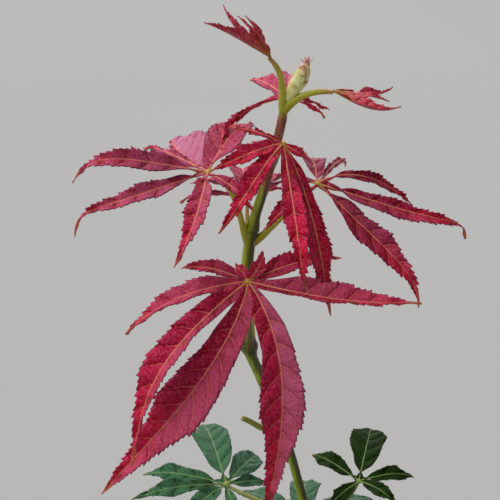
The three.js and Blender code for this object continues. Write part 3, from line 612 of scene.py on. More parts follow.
BUD_TIP = np.array([-22.9, -6, 387.5])
BUD_FOOT, BUD_BELLY, BUD_BLUNT = 0.8, 1.9, 0.75
BUD_WIDEST = 0.72
BUD_OFFSET = 0.6
BUD_TURN = 0.3
BUD_ROOT, BUD_ROOT_RADIUS = np.array([0.3, 0, 1.4]), 0.5
BUD_STEPS, BUD_SIDES = 30, 24
CORE_INSET = 0.1
BUD_SCALES = [
    (0.0, 0.46, 1.35, 0.10, 0), (0.0, 0.40, 1.35, 0.10, np.pi), (0.1, 0.72, 1.45, 0.05, np.pi / 2),
    (0.1, 0.66, 1.45, 0.05, -np.pi / 2), (0.3, 0.97, 1.3, 0.0, 0.2), (0.3, 0.93, 1.3, 0.0, 0.2 + np.pi),
]
SCALE_THICKNESS, SCALE_CURL = 0.14, 0.12
SCALE_ROWS, SCALE_COLUMNS = 16, 13
HAIRS = 34
HAIR_FOOT, HAIR_TIP = 0.16, 0.06
HAIR_LENGTHS, HAIR_SPREAD = (1.0, 2.4), 0.3
HAIR_STEPS, HAIR_SIDES = 6, 5


def bud_skin():
    bud = Finish("bud_scale")
    share = bud.read("share")
    streak = bud.noise(1500, 4, (1, 1, 0.3))
    bud.base(bud.ease(streak, 0.35, 0.7), (226, 230, 130), (255, 252, 206))
    bud.coat(bud.ease(share, 0.6, 0.95, 0, 0.6), (226, 176, 138))
    spot = bud.ease(bud.noise(620), 0.52, 0.66)
    bud.coat(bud.times(spot, bud.ease(share, 0.45, 0.85, 0, 0.8)), (104, 58, 40))
    rim = bud.ease(bud.read("margin"), 0.7, 0.98)
    bud.coat(bud.times(rim, bud.ease(share, 0.2, 0.7, 0.25, 0.9)), (162, 98, 66))
    bud.rough(streak, 0.35, 0.55)
    return bud.done(streak, 0.1)


def hair_skin():
    hair = Finish("pink_hair", Roughness=0.6)
    speck = hair.noise(1200, 2)
    hair.base(hair.ease(speck, 0.35, 0.65), (240, 190, 184), (196, 110, 104))
    return hair.done(speck, 0.05)


def bud_radius(t):
    """The club's radius along its share t: it swells from its foot to its belly as a quarter wave,
    and closes from there to its blunt tip as a parabola."""
    swell = BUD_FOOT + (BUD_BELLY - BUD_FOOT) * np.sin(np.pi / 2 * np.minimum(t / BUD_WIDEST, 1) ** 1.1)
    shut = np.maximum((t - BUD_WIDEST) / (1 - BUD_WIDEST), 0)
    return swell - (BUD_BELLY - BUD_BLUNT) * shut ** 2


def add_scale(shell, path, start, end, spread, lift, turn):
    """One bud scale: a strip of the bud's skin from share start to end, spread to both sides of
    its turn, narrowing to a blunt point, and lifted off the bud."""
    t = np.linspace(start, end, SCALE_ROWS)[:, None]
    a = np.linspace(-1, 1, SCALE_COLUMNS)[None, :]
    run = (t - start) / (end - start)
    angle = turn + a * spread * np.sqrt(np.clip(1 - run ** 3, 0, 1))
    shares = np.linspace(0, 1, len(path))
    centre = np.stack([np.interp(t[:, 0], shares, axis) for axis in path.T], -1)
    tangent = unit(np.gradient(path, axis=0).mean(0))
    across = unit(np.cross(tangent, UP))
    over = np.cross(across, tangent)
    radius = bud_radius(t) + lift * (0.4 + 0.6 * run) - SCALE_CURL * np.abs(a) ** 3
    grid = centre[:, None] + radius[..., None] * (
        np.cos(angle)[..., None] * across + np.sin(angle)[..., None] * over)
    shell.add(grid, margin=np.maximum(np.abs(a), run), share=t)


bud_foot = stem_at(STEM_TOP)[0] + [BUD_OFFSET, 0, 3 * GAP]
bud_path = bending(bud_foot, unit([BUD_OFFSET, 0, 1]), BUD_TIP, unit([BUD_OFFSET / 2, 0, 1]), BUD_STEPS)
bud_finish = bud_skin()
bud_core = Shell()
core_radius = bud_radius(np.linspace(0, 1, BUD_STEPS)) - CORE_INSET
limb(bud_core, np.concatenate([bud_path[:1] - BUD_ROOT, bud_path]),
     np.concatenate([[BUD_ROOT_RADIUS], core_radius]), BUD_SIDES, margin=0.0)
bud_core.piece("bud_core", bud_finish, "end_bud", ["end_bud"])
scale_shell = Shell()
for start, end, spread, lift, turn in BUD_SCALES:
    add_scale(scale_shell, bud_path, start, end, spread, lift, BUD_TURN + turn)
scale_shell.piece("bud_scales", bud_finish, "end_bud", ["end_bud"], thickness=SCALE_THICKNESS)
hair_shell = Shell()
hair_rng = np.random.default_rng(8)
for _ in range(HAIRS):
    lean = unit([*hair_rng.normal(0, HAIR_SPREAD, 2), 1])
    hair_foot = BUD_TIP + [*hair_rng.normal(0, HAIR_SPREAD, 2), -0.5]
    hair_end = hair_foot + lean * hair_rng.uniform(*HAIR_LENGTHS)
    hair_path = bending(hair_foot, unit([0.2, 0, 1]), hair_end, lean, HAIR_STEPS)
    limb(hair_shell, hair_path, np.linspace(HAIR_FOOT, HAIR_TIP, HAIR_STEPS), HAIR_SIDES)
hair_shell.piece("bud_hairs", hair_skin(), "end_bud", ["end_bud"])


# Red leaves of the leader: thin palmate blades cut nearly to the heart into long toothed lobes.
# Each half of a lobe rises from the midrib, and the skin is puckered between pale side veins.

FOLD = 0.46
PLAIN_HOOK = 2
WIDEST_AT = 0.55
NARROW = 0.24
POINT_POWER = 1.15
SINUS_DEPTH = 0.13
SEAM_RISE = 0.3
SEAM_SPAN, FREE_SPAN = 0.16, 0.1
MARGIN_START = 5
ROW = 0.34
VEIN_PITCH = 5.2
VEIN_SLANT = 0.3
VEIN_CURL = 0.11
VEIN_SHAKE = 1.8
TOOTH_PITCH = 4.1
TOOTH_DEPTH = 0.8
TOOTHLESS = 0.2
WAVER, WAVERS, WAVER_START = 0.07, 2.3, 0.3
WAVE_END = 0.15
PUCKER_START = 8
BULGE = 0.07
ROLL_START, ROLL_SPAN = 0.1, 0.35
BLADE_THICKNESS = 0.25
RIB_FOOT, RIB_TIP = 0.28, 0.07
RIB_STEP, RIB_LIFT = 1.2, 0.05
HEART_ROWS, HEART_SIDES = 12, 20
HEART_LIFT, HEART_HEIGHT, HEART_BUMP = 0.1, 0.62, 0.16
STALK_BEHIND = 0.4
# The mauve of the painted sheen, which stands in for the sky's reflection on the leaves.
SHEEN_MAUVE = (202, 112, 142)


class Midrib:
    """The midrib of a lobe: heart + s*chord + hump(s)*(lift*up + sway*side) + flick*s^5*side, with
    hump(s) = s*(1 - s^hook) over its own greatest value, so it peaks nearer the tip as hook grows.
    The flick turns the very tip, and the bow adds bow*sin(2 pi s) to one side and the other."""

    def __init__(self, heart, face, leaf_hook, lobe, roll=0.0):
        self.heart, self.face, self.roll = heart, face, math.radians(roll)
        self.chord = np.array(lobe[:3], float)
        self.lift, self.sway, self.width = lobe[3:6]
        self.hook = lobe[6] if len(lobe) > 6 else leaf_hook
        self.flick = lobe[7] if len(lobe) > 7 else 0.0
        self.bow = lobe[8] if len(lobe) > 8 else 0.0
        self.length = np.linalg.norm(self.chord)
        self.up = unit(face - self.chord * (face @ self.chord) / self.length ** 2)
        self.side = unit(np.cross(self.up, self.chord))
        self.top = (1 / (1 + self.hook)) ** (1 / self.hook)

    def at(self, s):
        s = np.asarray(s, float)[..., None]
        hump = s * (1 - s ** self.hook) / (self.top * (1 - self.top ** self.hook))
        aside = hump * self.sway + self.flick * s ** 5 + self.bow * np.sin(2 * np.pi * s)
        return self.heart + s * self.chord + hump * self.lift * self.up + aside * self.side

    def frame(self, s):
        """The way over the blade and the way across it at each share, turned by the lobe's roll."""
        along = unit(self.at(np.minimum(s + 0.01, 1)) - self.at(np.maximum(s - 0.01, 0)))
        over = unit(self.face - along * (along @ self.face)[..., None])
        across = np.cross(over, along)
        turn = (self.roll * smooth((s - ROLL_START) / ROLL_SPAN))[..., None]
        return (np.cos(turn) * over + np.sin(turn) * across,
                np.cos(turn) * across - np.sin(turn) * over, along)

    def half(self, s, widest, wedge):
        """The lobe's half width: it opens to its widest share, later for a greater wedge, and
        closes to a drawn out point."""
        opening = NARROW + (1 - NARROW) * np.sin(np.pi / 2 * np.minimum(s / widest, 1)) ** wedge
        closing = np.clip((1 - s) / (1 - widest), 0, 1) ** POINT_POWER
        return self.width * self.length * np.where(s < widest, opening, closing)


def chance(n):
    """A repeatable number between 0 and 1: the fraction of 43758.5453 sin(12.9898 n)."""
    wave = np.sin(np.asarray(n, float) * 12.9898) * 43758.5453
    return wave - np.floor(wave)


def toothed(r, s, start, seed, pitch, depth):
    """How far the margin stands out, and forward: a saw whose teeth rise towards the tip, each
    with smaller teeth on its back. The margin is smooth near the sinus and near the point."""
    phase = r / pitch + chance(seed)
    tooth, run = np.floor(phase), phase - np.floor(phase)
    small = 3 * run - np.floor(3 * run)
    size = depth * (0.6 + 0.8 * chance(tooth + 7 * seed))
    size = size * smooth((r - start) / MARGIN_START)
    size = size * smooth(s / TOOTHLESS - 1) * smooth((1 - s) / TOOTHLESS)
    rise = 0.42 * (run ** 1.4 - 0.42) + 0.5 * (small ** 1.3 - 0.45)
    return size * rise, size * (0.25 * run + 0.4 * small)


def half_lobe(rib, r, hand, seam, reach, columns, seed, look, fullness, bloom):
    """The points of one half of a lobe, row by row from the heart and from midrib to margin.
    Up to the reach of the sinus its margin is the seam that it shares with its neighbour, and
    beyond it the margin eases onto the lobe's own toothed outline."""
    s = r / rib.length
    middle = rib.at(s)
    over, across, along = rib.frame(s)
    out, forward = toothed(r, s, reach + 1.0, seed, look["tooth_pitch"], look["tooth_depth"])
    waver = 1 + WAVER * np.sin(2 * np.pi * (WAVERS * s + chance(seed + 9))) * smooth(s / WAVER_START)
    half = rib.half(s, look["widest"], look["wedge"]) * look["width"] * fullness * waver
    half = np.maximum(half + out, 0)[:, None]
    own = middle + hand * half * across + look["fold"] * half * over + forward[:, None] * along
    at_sinus, target, span = 0, rib.heart, FREE_SPAN * rib.length
    if seam is not None:
        at_sinus = int(round(reach / look["row"]))
        target, span = seam[at_sinus], SEAM_SPAN * rib.length
    margin = own + (target - own[at_sinus]) * (1 - smooth((r - r[at_sinus]) / span))[:, None]
    if seam is not None:
        margin[:at_sinus + 1] = seam[:at_sinus + 1]
    margin[-1] = middle[-1]
    v = np.linspace(0, 1, columns + 1)[None, :]
    reach_mm = np.linalg.norm(margin - middle, axis=1)[:, None]
    u = v * reach_mm
    free = smooth((r - reach) / MARGIN_START)[:, None]
    wave = look["wave"] * np.sin(2 * np.pi * r / look["wave_length"] + 6.3 * chance(seed + 3))[:, None]
    phase = (r[:, None] - VEIN_SLANT * u - VEIN_CURL * u ** 2) / look["vein_pitch"] + chance(seed + 5)
    pucker = look["pucker"] * (np.abs(np.sin(np.pi * phase)) - 1) * np.sin(np.pi * v) ** 0.7
    height = BULGE * reach_mm * 4 * v * (1 - v) + pucker * smooth(r / PUCKER_START)[:, None]
    height = height + wave * free * v ** 2 * smooth((1 - s) / WAVE_END)[:, None]
    grid = middle[:, None] + (margin - middle)[:, None] * v[..., None] + height[..., None] * over[:, None]
    along_vein = r[:, None] + chance(seed + 5) * look["vein_pitch"] + 0 * u
    # The last value is how much painted sheen, mauve for the sky's reflection, this half carries.
    return grid, {"vein_map": np.stack([hand * u, along_vein], -1), "margin": v * free,
                  "share": s[:, None], "tone": chance(seed + 11), "bloom": bloom}


LEADER_LOOK = {"tooth_pitch": TOOTH_PITCH, "tooth_depth": TOOTH_DEPTH, "width": 1, "fold": FOLD,
               "wave": 0.4, "wave_length": 11, "vein_pitch": VEIN_PITCH, "pucker": 0.8,
               "sinus": SINUS_DEPTH, "row": ROW, "widest": WIDEST_AT, "wedge": 1}


def add_blade(shell, heart, face, leaf, seed, look=LEADER_LOOK, columns=6, **values):
    """A whole palmate blade of lobes side by side round the heart. Neighbours part at a sinus halfway
    between their midribs, a share of their harmonic mean length from the heart. For a lobe's number, the
    leaf's shares give how full its left and right half is, its painted sheen values how much mauve is
    painted on each half to stand in for the sky's reflection, and its rolls how many degrees the lobe is
    turned about its midrib."""
    lobes, row, hook = leaf["lobes"], look["row"], leaf.get("hook", PLAIN_HOOK)
    rolls, shares, sheen_halves = (leaf.get(key, {}) for key in ("rolls", "shares", "sheen_halves"))
    sinuses = np.broadcast_to(leaf.get("sinus", look["sinus"]), len(lobes) - 1)
    ribs = [Midrib(heart, face, hook, lobe, rolls.get(i, 0)) for i, lobe in enumerate(lobes)]
    for i, rib in enumerate(ribs):
        r = np.append(np.arange(0, rib.length - row / 2, row), rib.length)
        for half, hand in ((1, -1), (0, 1)):
            seam, reach = None, 0.0
            if 0 <= i + hand < len(ribs):
                other = ribs[i + hand]
                mean = 2 * rib.length * other.length / (rib.length + other.length)
                reach = row * round(sinuses[min(i, i + hand)] * mean / row)
                shared = np.arange(0, reach + row / 2, row)
                ends = rib.at(shared / rib.length), other.at(shared / other.length)
                spread = np.linalg.norm(ends[0] - ends[1], axis=1)[:, None] / 2
                seam = (ends[0] + ends[1]) / 2 + face * spread * SEAM_RISE
            grid, own_values = half_lobe(rib, r, hand, seam, reach, columns, seed + 10 * i + hand,
                                         look, shares.get(i, (1, 1))[half], sheen_halves.get(i, (0, 0))[half])
            shell.add(grid, flip=hand > 0, **own_values, **values)
    return ribs


def add_ribs(shell, ribs):
    """The raised midribs: thin rods along the keels, thick at the heart and fine at the tips."""
    for rib in ribs:
        s = np.linspace(0, 1, max(int(rib.length / RIB_STEP), 6))
        keel = rib.at(s) + rib.frame(s)[0] * RIB_LIFT
        limb(shell, keel, RIB_FOOT + (RIB_TIP - RIB_FOOT) * s ** 0.8, 6)


def add_heart(shell, heart, face, size, seed):
    """The knuckle where the lobes meet: a low button with a few bumps."""
    polar = np.linspace(0, np.pi, HEART_ROWS)[:, None]
    turn = np.linspace(0, 2 * np.pi, HEART_SIDES, endpoint=False)[None, :]
    side = unit(np.cross(face, [0.3, 1, 0.2]))
    ahead = np.cross(side, face)
    out = size * np.sin(polar) * (1 + HEART_BUMP * np.sin(5 * turn + seed) * np.sin(polar) ** 2)
    grid = (heart + face * HEART_LIFT + (out * np.cos(turn))[..., None] * side
            + (out * np.sin(turn))[..., None] * ahead
            + (HEART_HEIGHT * size * np.cos(polar) + 0 * turn)[..., None] * face)
    shell.add(grid, closed=True, flip=True, share=0.0)


def leaf_group():
    """The pattern of veins on a blade, read from the vein map: x is the distance from the midrib
    and y the distance along it, both in mm. It puts out masks of the midrib, the side veins and
    the fine net between them, and a height that swells between the veins."""
    group = bpy.data.node_groups.new("leaf_veins", "ShaderNodeTree")
    group.interface.new_socket("Map", in_out="INPUT", socket_type="NodeSocketVector")
    group.interface.new_socket("Pitch", in_out="INPUT", socket_type="NodeSocketFloat")
    for name in ("Midrib", "Side", "Net", "Height"):
        group.interface.new_socket(name, in_out="OUTPUT", socket_type="NodeSocketFloat")
    given = group.nodes.new("NodeGroupInput").outputs
    veins = Tree(group, given["Map"])
    aside, along = veins.parts()[:2]
    aside = veins.calc("ABSOLUTE", aside)
    bend = veins.times(aside, veins.plus(VEIN_SLANT, veins.times(aside, VEIN_CURL)))
    shake = veins.times(veins.calc("SUBTRACT", veins.noise(0.3, 2), 0.5), VEIN_SHAKE)
    run = veins.plus(veins.calc("SUBTRACT", along, bend), shake)
    away = veins.calc("PINGPONG", run, veins.times(given["Pitch"], 0.5))
    cells = veins.cells(1.5, (1, 0.75, 1), feature="DISTANCE_TO_EDGE")
    fine = veins.cells(4.2, (1, 0.75, 1), feature="DISTANCE_TO_EDGE")
    net = veins.calc("MAXIMUM", veins.ease(cells, 0.16, 0.02), veins.ease(fine, 0.14, 0.0, 0, 0.6))
    swell = veins.plus(veins.ease(away, 0.0, 1.0), veins.ease(cells, 0.0, 0.3, 0, 0.4))
    height = veins.calc("SUBTRACT", swell, veins.ease(fine, 0.15, 0.0, 0, 0.15))
    handed = group.nodes.new("NodeGroupOutput").inputs
    group.links.new(veins.ease(aside, 0.3, 0.08), handed["Midrib"])
    group.links.new(veins.ease(away, 0.22, 0.05), handed["Side"])
    group.links.new(net, handed["Net"])
    group.links.new(height, handed["Height"])
    return group


leaf_veins = leaf_group()


def blade_finish(name, deep, lit, vein, rim, point, pitch=VEIN_PITCH, vein_share=0.5, young=None,
                 foot=None, gloss=0.7, sheen=(1.0, 0.36, 0.85, 1.0), bright=None):
    """A leaf's skin: mottled between a deep and a lit colour, darker at its margin, drawn out to a tan
    point, with pale veins and a painted mauve sheen that stands in for the sky's reflection on the lobe
    halves that face it. It is satiny, and its gloss breaks up on the fine net."""
    skin = Finish(name, Specular_IOR_Level=gloss, Specular_Tint=sheen)
    vein_map = skin.node("UVMap", uv_map="vein_map").outputs[0]
    veins = skin.node("Group", node_tree=leaf_veins, inputs={"Map": vein_map, "Pitch": pitch}).outputs
    margin, share = skin.read("margin"), skin.read("share")
    broad, speck = skin.noise(90, 4), skin.noise(1500, 4)
    mottle = skin.plus(skin.ease(broad, 0.3, 0.7, 0, 0.65), skin.times(skin.read("tone"), 0.35))
    skin.base(mottle, deep, lit)
    skin.coat(skin.ease(speck, 0.48, 0.6, 0, 0.8), lit)
    skin.coat(skin.ease(speck, 0.46, 0.34, 0, 0.75), deep)
    skin.coat(skin.times(veins["Net"], 0.4), deep)
    if bright:
        skin.coat(skin.ease(share, 0.4, 0.85, 0, 0.65), bright)
        # Fine specks: the mauve ones are painted highlights on the puckered skin, and the dark ones painted
        # shade in its pits.
        skin.coat(skin.ease(speck, 0.54, 0.62, 0, 0.3), SHEEN_MAUVE)
        skin.coat(skin.ease(speck, 0.44, 0.36, 0, 0.4), rim)
    # Painted sheen: mauve laid on the lobe halves that face the sky, in place of its reflection.
    skin.coat(skin.times(skin.read("bloom"), skin.ease(broad, 0.3, 0.7, 0.45, 0.8)), SHEEN_MAUVE)
    if young:
        skin.coat(skin.read("spray"), young)
    skin.coat(skin.ease(margin, 0.9, 1.0, 0, 0.6), rim)
    skin.coat(skin.times(veins["Side"], skin.ease(margin, 0.92, 0.6, 0.0, vein_share)), vein)
    skin.coat(skin.times(veins["Midrib"], 0.6), vein)
    skin.coat(skin.ease(share, 0.9, 0.995), point)
    if foot:
        skin.coat(skin.ease(share, 0.5, 0.05, 0, 0.7), foot)
    skin.rough(speck, 0.3, 0.48)
    return skin.done(skin.plus(veins["Height"], skin.times(skin.noise(700), 1.2)), 0.28)


# For each leaf, the painted sheen values lay mauve on lobe halves that face the sky, standing in for its
# reflection.
RED_LEAVES = {
    "leaf_low_front": dict(
        level=NODE_RING, heart=[-36.5, -18, 337.5], face=[0.05, -0.8, 0.6], hook=1.6, rise=1.6,
        arrive=[0, -0.9, 0.4], button=0.9, drop=3, foot="dark",
        sinus=[0.1, 0.06, 0.06, 0.09, 0.14, 0.06, 0.12, 0.12],
        rolls={2: -38, 3: -24, 4: -6, 6: 22, 7: 25, 8: -10},
        shares={1: (0.65, 1.1), 3: (0.5, 0.84), 4: (1.1, 0.92), 5: (1.02, 1.12), 6: (1.3, 0.5)},
        sheen_halves={0: (0.2, 0.2), 1: (0.35, 0.35), 2: (0.35, 0.35), 3: (0.4, 0), 4: (0.5, 0),
                5: (0.8, 0), 6: (0.4, 0.1), 7: (0.1, 0.2), 8: (0.1, 0.1)},
        lobes=[
            [-3, 2, 4, 0.3, 0, 0.3], [-16.4, 5, 1.4, 1.5, -1, 0.12],
            [-29.1, -8, -9.5, 2.7, -2, 0.1, 1.3, 0.5], [-22.3, -31, -33.6, 6, -7.2, 0.098, 1.2, -4, 0.9],
            [-36.8, -20, -44.7, 6.2, 5.7, 0.094, 0.4, 2.5],
            [0.9, -21, -52.5, 6.2, 7.3, 0.083, 0.6, 3.2], [40.2, -9, 0.1, 0.2, -2.5, 0.075, 2.2, -1.5],
            [23, 8, 3, 2, 1, 0.12], [3.5, 3, 6.8, 0.5, -0.8, 0.22],
        ]),
    "leaf_high_front": dict(
        level=NODE_HIGH, heart=[-28.5, -20, 372], face=[0, -0.75, 0.66], rise=0.6,
        arrive=[0, -0.95, 0.3], button=0.7, drop=1.5, foot="dark", sinus=[0.08, 0.12, 0.08, 0.2, 0.1],
        shares={0: (1, 0.8), 2: (0.75, 1), 3: (0.75, 0.7), 4: (0.6, 0.75)},
        lobes=[
            [-11.6, 0, 3.8, 2, 0.2, 0.08, 1.5], [-16.2, -8, -4, 2.1, 0.3, 0.12, 0.4],
            [-13.3, -14, -17.2, 4, 0, 0.1, 0.4, -1.4], [7.5, -16, -29.7, 6.1, -2.2, 0.1, 6.7, -2],
            [11.6, 9, -47.3, 4.5, 1.5, 0.08, 0.4, 1.3], [5, 3, -2.8, 1.2, -1.6, 0.17, 4],
        ]),
    "leaf_mid_left": dict(
        level=NODE_MIDDLE, heart=[-46, -12, 363], face=[-0.15, -0.35, 0.92], rise=2.2,
        arrive=[-0.8, -0.3, 0.35], button=0.7, rolls={2: 18, 3: 25}, sinus=0.07,
        shares={2: (1, 0.75), 3: (1, 0.85), 4: (0.8, 0.4), 5: (0.3, 1.2), 6: (0.85, 1)},
        sheen_halves={0: (0.1, 0.1), 1: (0.5, 0), 2: (0.5, 0.4), 3: (0.5, 0.5), 4: (0.5, 0.5),
                5: (0.3, 1.4), 6: (0.1, 0.1)},
        lobes=[
            [11, -6, -8, 2, 0, 0.11], [-6.5, -22, -15.5, 2.6, 2.1, 0.1, 2.1, -0.4],
            [-28.1, -18, -10.8, 4.2, -1.6, 0.085, 14.5, -2.2], [-31.7, -2, -2, 6.7, 1.1, 0.095, 5.2],
            [-17.5, 22, 0, 1.5, 0, 0.1, 3], [-11.6, 38, -2.0, 1, 1.5, 0.15, 1.3],
            [10, 28, 4.5, 2.5, 0, 0.2],
        ]),
    "leaf_mid_right": dict(
        level=NODE_MIDDLE, heart=[-19.5, -5, 358], face=[0.15, -0.3, 0.94], rise=0.7,
        arrive=[0.8, 0, 0.6], button=0.7, rolls={3: -28, 4: -30, 5: -18}, sinus=0.07,
        shares={3: (0.8, 1), 4: (0.6, 1), 5: (0.7, 1.1)},
        sheen_halves={1: (0.2, 0.2), 2: (0.2, 0.2), 4: (0, 0.1), 5: (0.25, 0)},
        lobes=[
            [-12.5, 13, -6.5, 2, 0, 0.12], [-1, 21, 0, 2, 0, 0.13], [10, 31, -4, 3, 0, 0.03],
            [25.9, 11, -9.7, 4.2, 1.6, 0.065, 0.4, 0.5], [36.2, -5, -15.8, 4.5, 0.4, 0.08, 15, 5.4],
            [24.2, -14, -27, 3.3, 1.1, 0.11, 6.6], [-13.5, -7, -10, 1, 0, 0.12],
        ]),
    "leaf_high_back": dict(
        level=NODE_HIGH, heart=[-27, 6, 377], face=[0.05, 0.3, 0.95], rise=1,
        arrive=[0.1, 0.7, 0.7], button=0.7, foot="dark", rolls={3: 30, 4: -60},
        shares={4: (0.6, 0.9)}, sheen_halves={2: (0.4, 0.4), 3: (0.4, 0.4)},
        lobes=[
            [9.5, -4, -4, 0.6, 0, 0.06], [11.5, 8, -5, 0.6, 0, 0.07], [2.5, 28, -0.5, 2, 0, 0.11],
            [-9, 20, 0.5, 1, 0, 0.12], [-17, -11, -12.3, 3, -6.6, 0.065, 1, 2.7],
        ]),
    "leaf_low_back": dict(
        level=NODE_RING, heart=[-36.8, 25, 344.6], face=[0, 0.3, 0.95], rise=1.6, arrive=[0, 0.3, 0.95],
        seed=601,
        lobes=[
            [-18.5, -3.0, -0.0, 1.5, 0, 0.1], [-17, 20, -2, 2, 0, 0.11], [-2, 36, -3, 3, 0, 0.11],
            [15, 26, -2, 2, 0, 0.11], [10.6, 2.0, 1.7, 1, 0, 0.13],
        ]),
}

FAN_SPREAD = math.radians(39)
FAN_LENGTHS = [1, 0.92, 0.74, 0.45]
FAN_WIDTH, FAN_SAG, FAN_ARCH = 0.115, 0.16, 0.08


def fan_lobes(axis, face, size, half):
    """The lobes of a fan leaf, spread evenly about its axis: the middle one is longest, and all
    of them sag towards their tips."""
    side = unit(np.cross(face, axis))
    ahead = unit(np.cross(side, face))
    lobes = []
    for k in range(-half, half + 1):
        turn, length = k * FAN_SPREAD, size * FAN_LENGTHS[abs(k)]
        tip = length * (math.cos(turn) * ahead + math.sin(turn) * side - FAN_SAG * face)
        lobes.append([*tip, FAN_ARCH * length, 0, FAN_WIDTH])
    return lobes


def red_finish(name, deep, lit):
    return blade_finish(name, deep, lit, (232, 122, 92), (96, 0, 22), (206, 120, 76), vein_share=0.75,
                        bright=(228, 2, 46))


crimson = red_finish("crimson_blade", (156, 0, 28), (216, 6, 56))
scarlet = red_finish("scarlet_blade", (162, 0, 26), (234, 8, 60))
wine = red_finish("wine_blade", (126, 0, 18), (180, 8, 40))
# A duller, more purple crimson for the leaf at the middle left: partly its own tone, and partly painted
# sheen, the pink reflection of the sky on its upturned lobes.
purple_sheen = red_finish("purple_sheen_blade", (146, 8, 36), (196, 40, 68))
RED_SKINS = {"leaf_high_front": scarlet, "leaf_mid_right": wine, "leaf_mid_left": purple_sheen,
             "leaf_low_back": wine}
crimson_rib = stalk_skin("crimson_rib", (200, 166, 68), (232, 140, 106), (196, 74, 62), 0.06)


def make_leader_leaf(node, leaf, seed, blade_skin, rib_skin, slot, look=LEADER_LOOK):
    """One leaf of the leader: its blade, and its stalk, heart and raised midribs."""
    heart, face = np.array(leaf["heart"], float), unit(leaf["face"])
    blade_shell, rib_shell, stalk_shell = Shell(), Shell(), Shell()
    ribs = add_blade(blade_shell, heart, face, leaf, seed, look)
    add_stalk(stalk_shell, leaf["level"], heart - face * STALK_BEHIND, leaf["rise"],
              unit(leaf["arrive"]), leaf.get("drop", FORK_DROP))
    add_heart(rib_shell, heart, face, leaf.get("button", 0.8), seed)
    add_ribs(rib_shell, ribs)
    name = node.replace("leaf_", "")
    blade_shell.piece("blade_" + name, blade_skin, slot, [node], thickness=BLADE_THICKNESS)
    rib_shell.piece("ribs_" + name, rib_skin, slot, [node])
    stalk_shell.piece("stalk_" + name, STALK_SKINS[leaf.get("foot", "green")], slot, [node])


for place, (node, leaf) in enumerate(RED_LEAVES.items()):
    seed = leaf.get("seed", 100 * place + 1)
    make_leader_leaf(node, leaf, seed, RED_SKINS.get(node, crimson), crimson_rib, "red_leaf")


# Young leaves at the tip: small blades, still folded, orange red with green at their foot, on
# green stalks that part round the bud.

YOUNG_LOOK = {**LEADER_LOOK, "tooth_pitch": 2.2, "tooth_depth": 0.4, "fold": 1.1, "wave": 0.15,
              "wave_length": 5, "vein_pitch": 2.6, "pucker": 0.12, "sinus": 0.48, "row": 0.2}
YOUNG_LEAVES = {
    "leaf_young_left": dict(
        level=NODE_TOP, heart=[-31.5, -8, 389.5], face=[0.5, -0.4, 0.75], hook=1.5, rise=9,
        arrive=[-0.75, -0.1, 0.65], button=0.45, drop=0.8,
        lobes=[
            [-2.2, -1, 4, 0.3, 0, 0.12], [-4.0, 4.0, 6.8, 0.3, 0, 0.07], [-5.6, 0, 9.3, 0.5, 0, 0.08],
            [-7.3, 1.0, 9.1, 0.4, 0, 0.06], [-10.5, 2, 11.5, 0, 2.9, 0.075, 1.7, 0.2],
            [-14.7, -4, 8.9, 0.4, 0.6, 0.085, 2.3, 1], [-6, -4, 4.5, 0.3, 0, 0.12],
        ]),
    "leaf_young_right": dict(
        level=NODE_TOP, heart=[-16.5, -8, 381.5], face=[0.1, -0.4, 0.9], hook=1.5, rise=1.3,
        arrive=[0.97, 0, -0.15], button=0.45, drop=0.8,
        lobes=[
            [5, -2, -2.5, 0.3, 0, 0.14], [14.7, -6, -2.9, -1.1, -1.5, 0.095, 2.6, 1.2],
            [13, -1, -2.2, 0.4, 0, 0.08], [15.2, 6, -0.9, -0.9, -0.7, 0.075, 4.2, 1.2],
            [8, 5, -3, 0, 0, 0.09],
        ]),
}
young_red = blade_finish("young_blade", (176, 32, 44), (222, 82, 90), (222, 140, 92), (150, 60, 30),
                         (190, 66, 62), pitch=2.6, foot=(196, 140, 40))
young_rib = stalk_skin("young_rib", (168, 140, 50), (190, 90, 60), (170, 60, 54), 0.5)
for place, (node, leaf) in enumerate(YOUNG_LEAVES.items()):
    make_leader_leaf(node, leaf, 100 * place + 701, young_red, young_rib, "young_leaf", YOUNG_LOOK)


# Green leaves lower on the leader: older, broader blades that have lost their red, bluish green
# with pale veins.

GREEN_LOOK = {**LEADER_LOOK, "width": 1.12, "fold": 0.25, "tooth_depth": 0.5, "tooth_pitch": 2.6,
              "sinus": 0.09, "widest": 0.66, "wedge": 1.5}
GREEN_LEAVES = {
    "leaf_green_left": dict(
        level=NODE_OLD, heart=[-43, 12, 259.5], face=[0.1, -0.45, 0.88], rise=0.5, button=1.1,
        foot="olive", arrive=[-0.85, 0.35, 0.3],
        lobes=[
            [3, -12, -5, 1, 0, 0.14], [-12.5, -16, -1, 2, 0, 0.13], [-26.8, -12.0, 3.2, 3, 0, 0.08],
            [-25.4, 6.0, -0.6, 3, 0, 0.095], [-8.5, 34, 0, 3, 0, 0.15], [9.5, 24, -5.5, 2, 0, 0.15],
            [12, 10, -6, 1, 0, 0.12],
        ]),
    "leaf_green_right": dict(
        level=NODE_OLD, heart=[-4, 10, 262], face=[0, -0.45, 0.88], rise=0.6,
        foot="olive", arrive=[0.5, 0.5, 0.6],
        lobes=[
            [-9, -6, -4, 1, 0, 0.16], [-13, 14, 0, 2, 0, 0.14], [7, 30, -0.5, 3, 0, 0.16],
            [16.5, 2, 0, 3, 0, 0.13], [9.5, -12, 0.5, 2, 0, 0.14],
        ]),
    "leaf_green_back": dict(
        level=NODE_LOWEST, heart=[-20, 20, 239], face=[0, 0.1, 0.98], rise=0.8, arrive=[-0.4, 0.7, 0.4],
        foot="olive", axis=[0.1, 1, -0.35], size=40),
    "leaf_green_front": dict(
        level=NODE_LOWEST, heart=[4, -20, 243], face=[0.1, -0.3, 0.95], rise=0.8, arrive=[0.4, -0.7, 0.4],
        foot="olive", axis=[0.35, -1, -0.3], size=42),
}
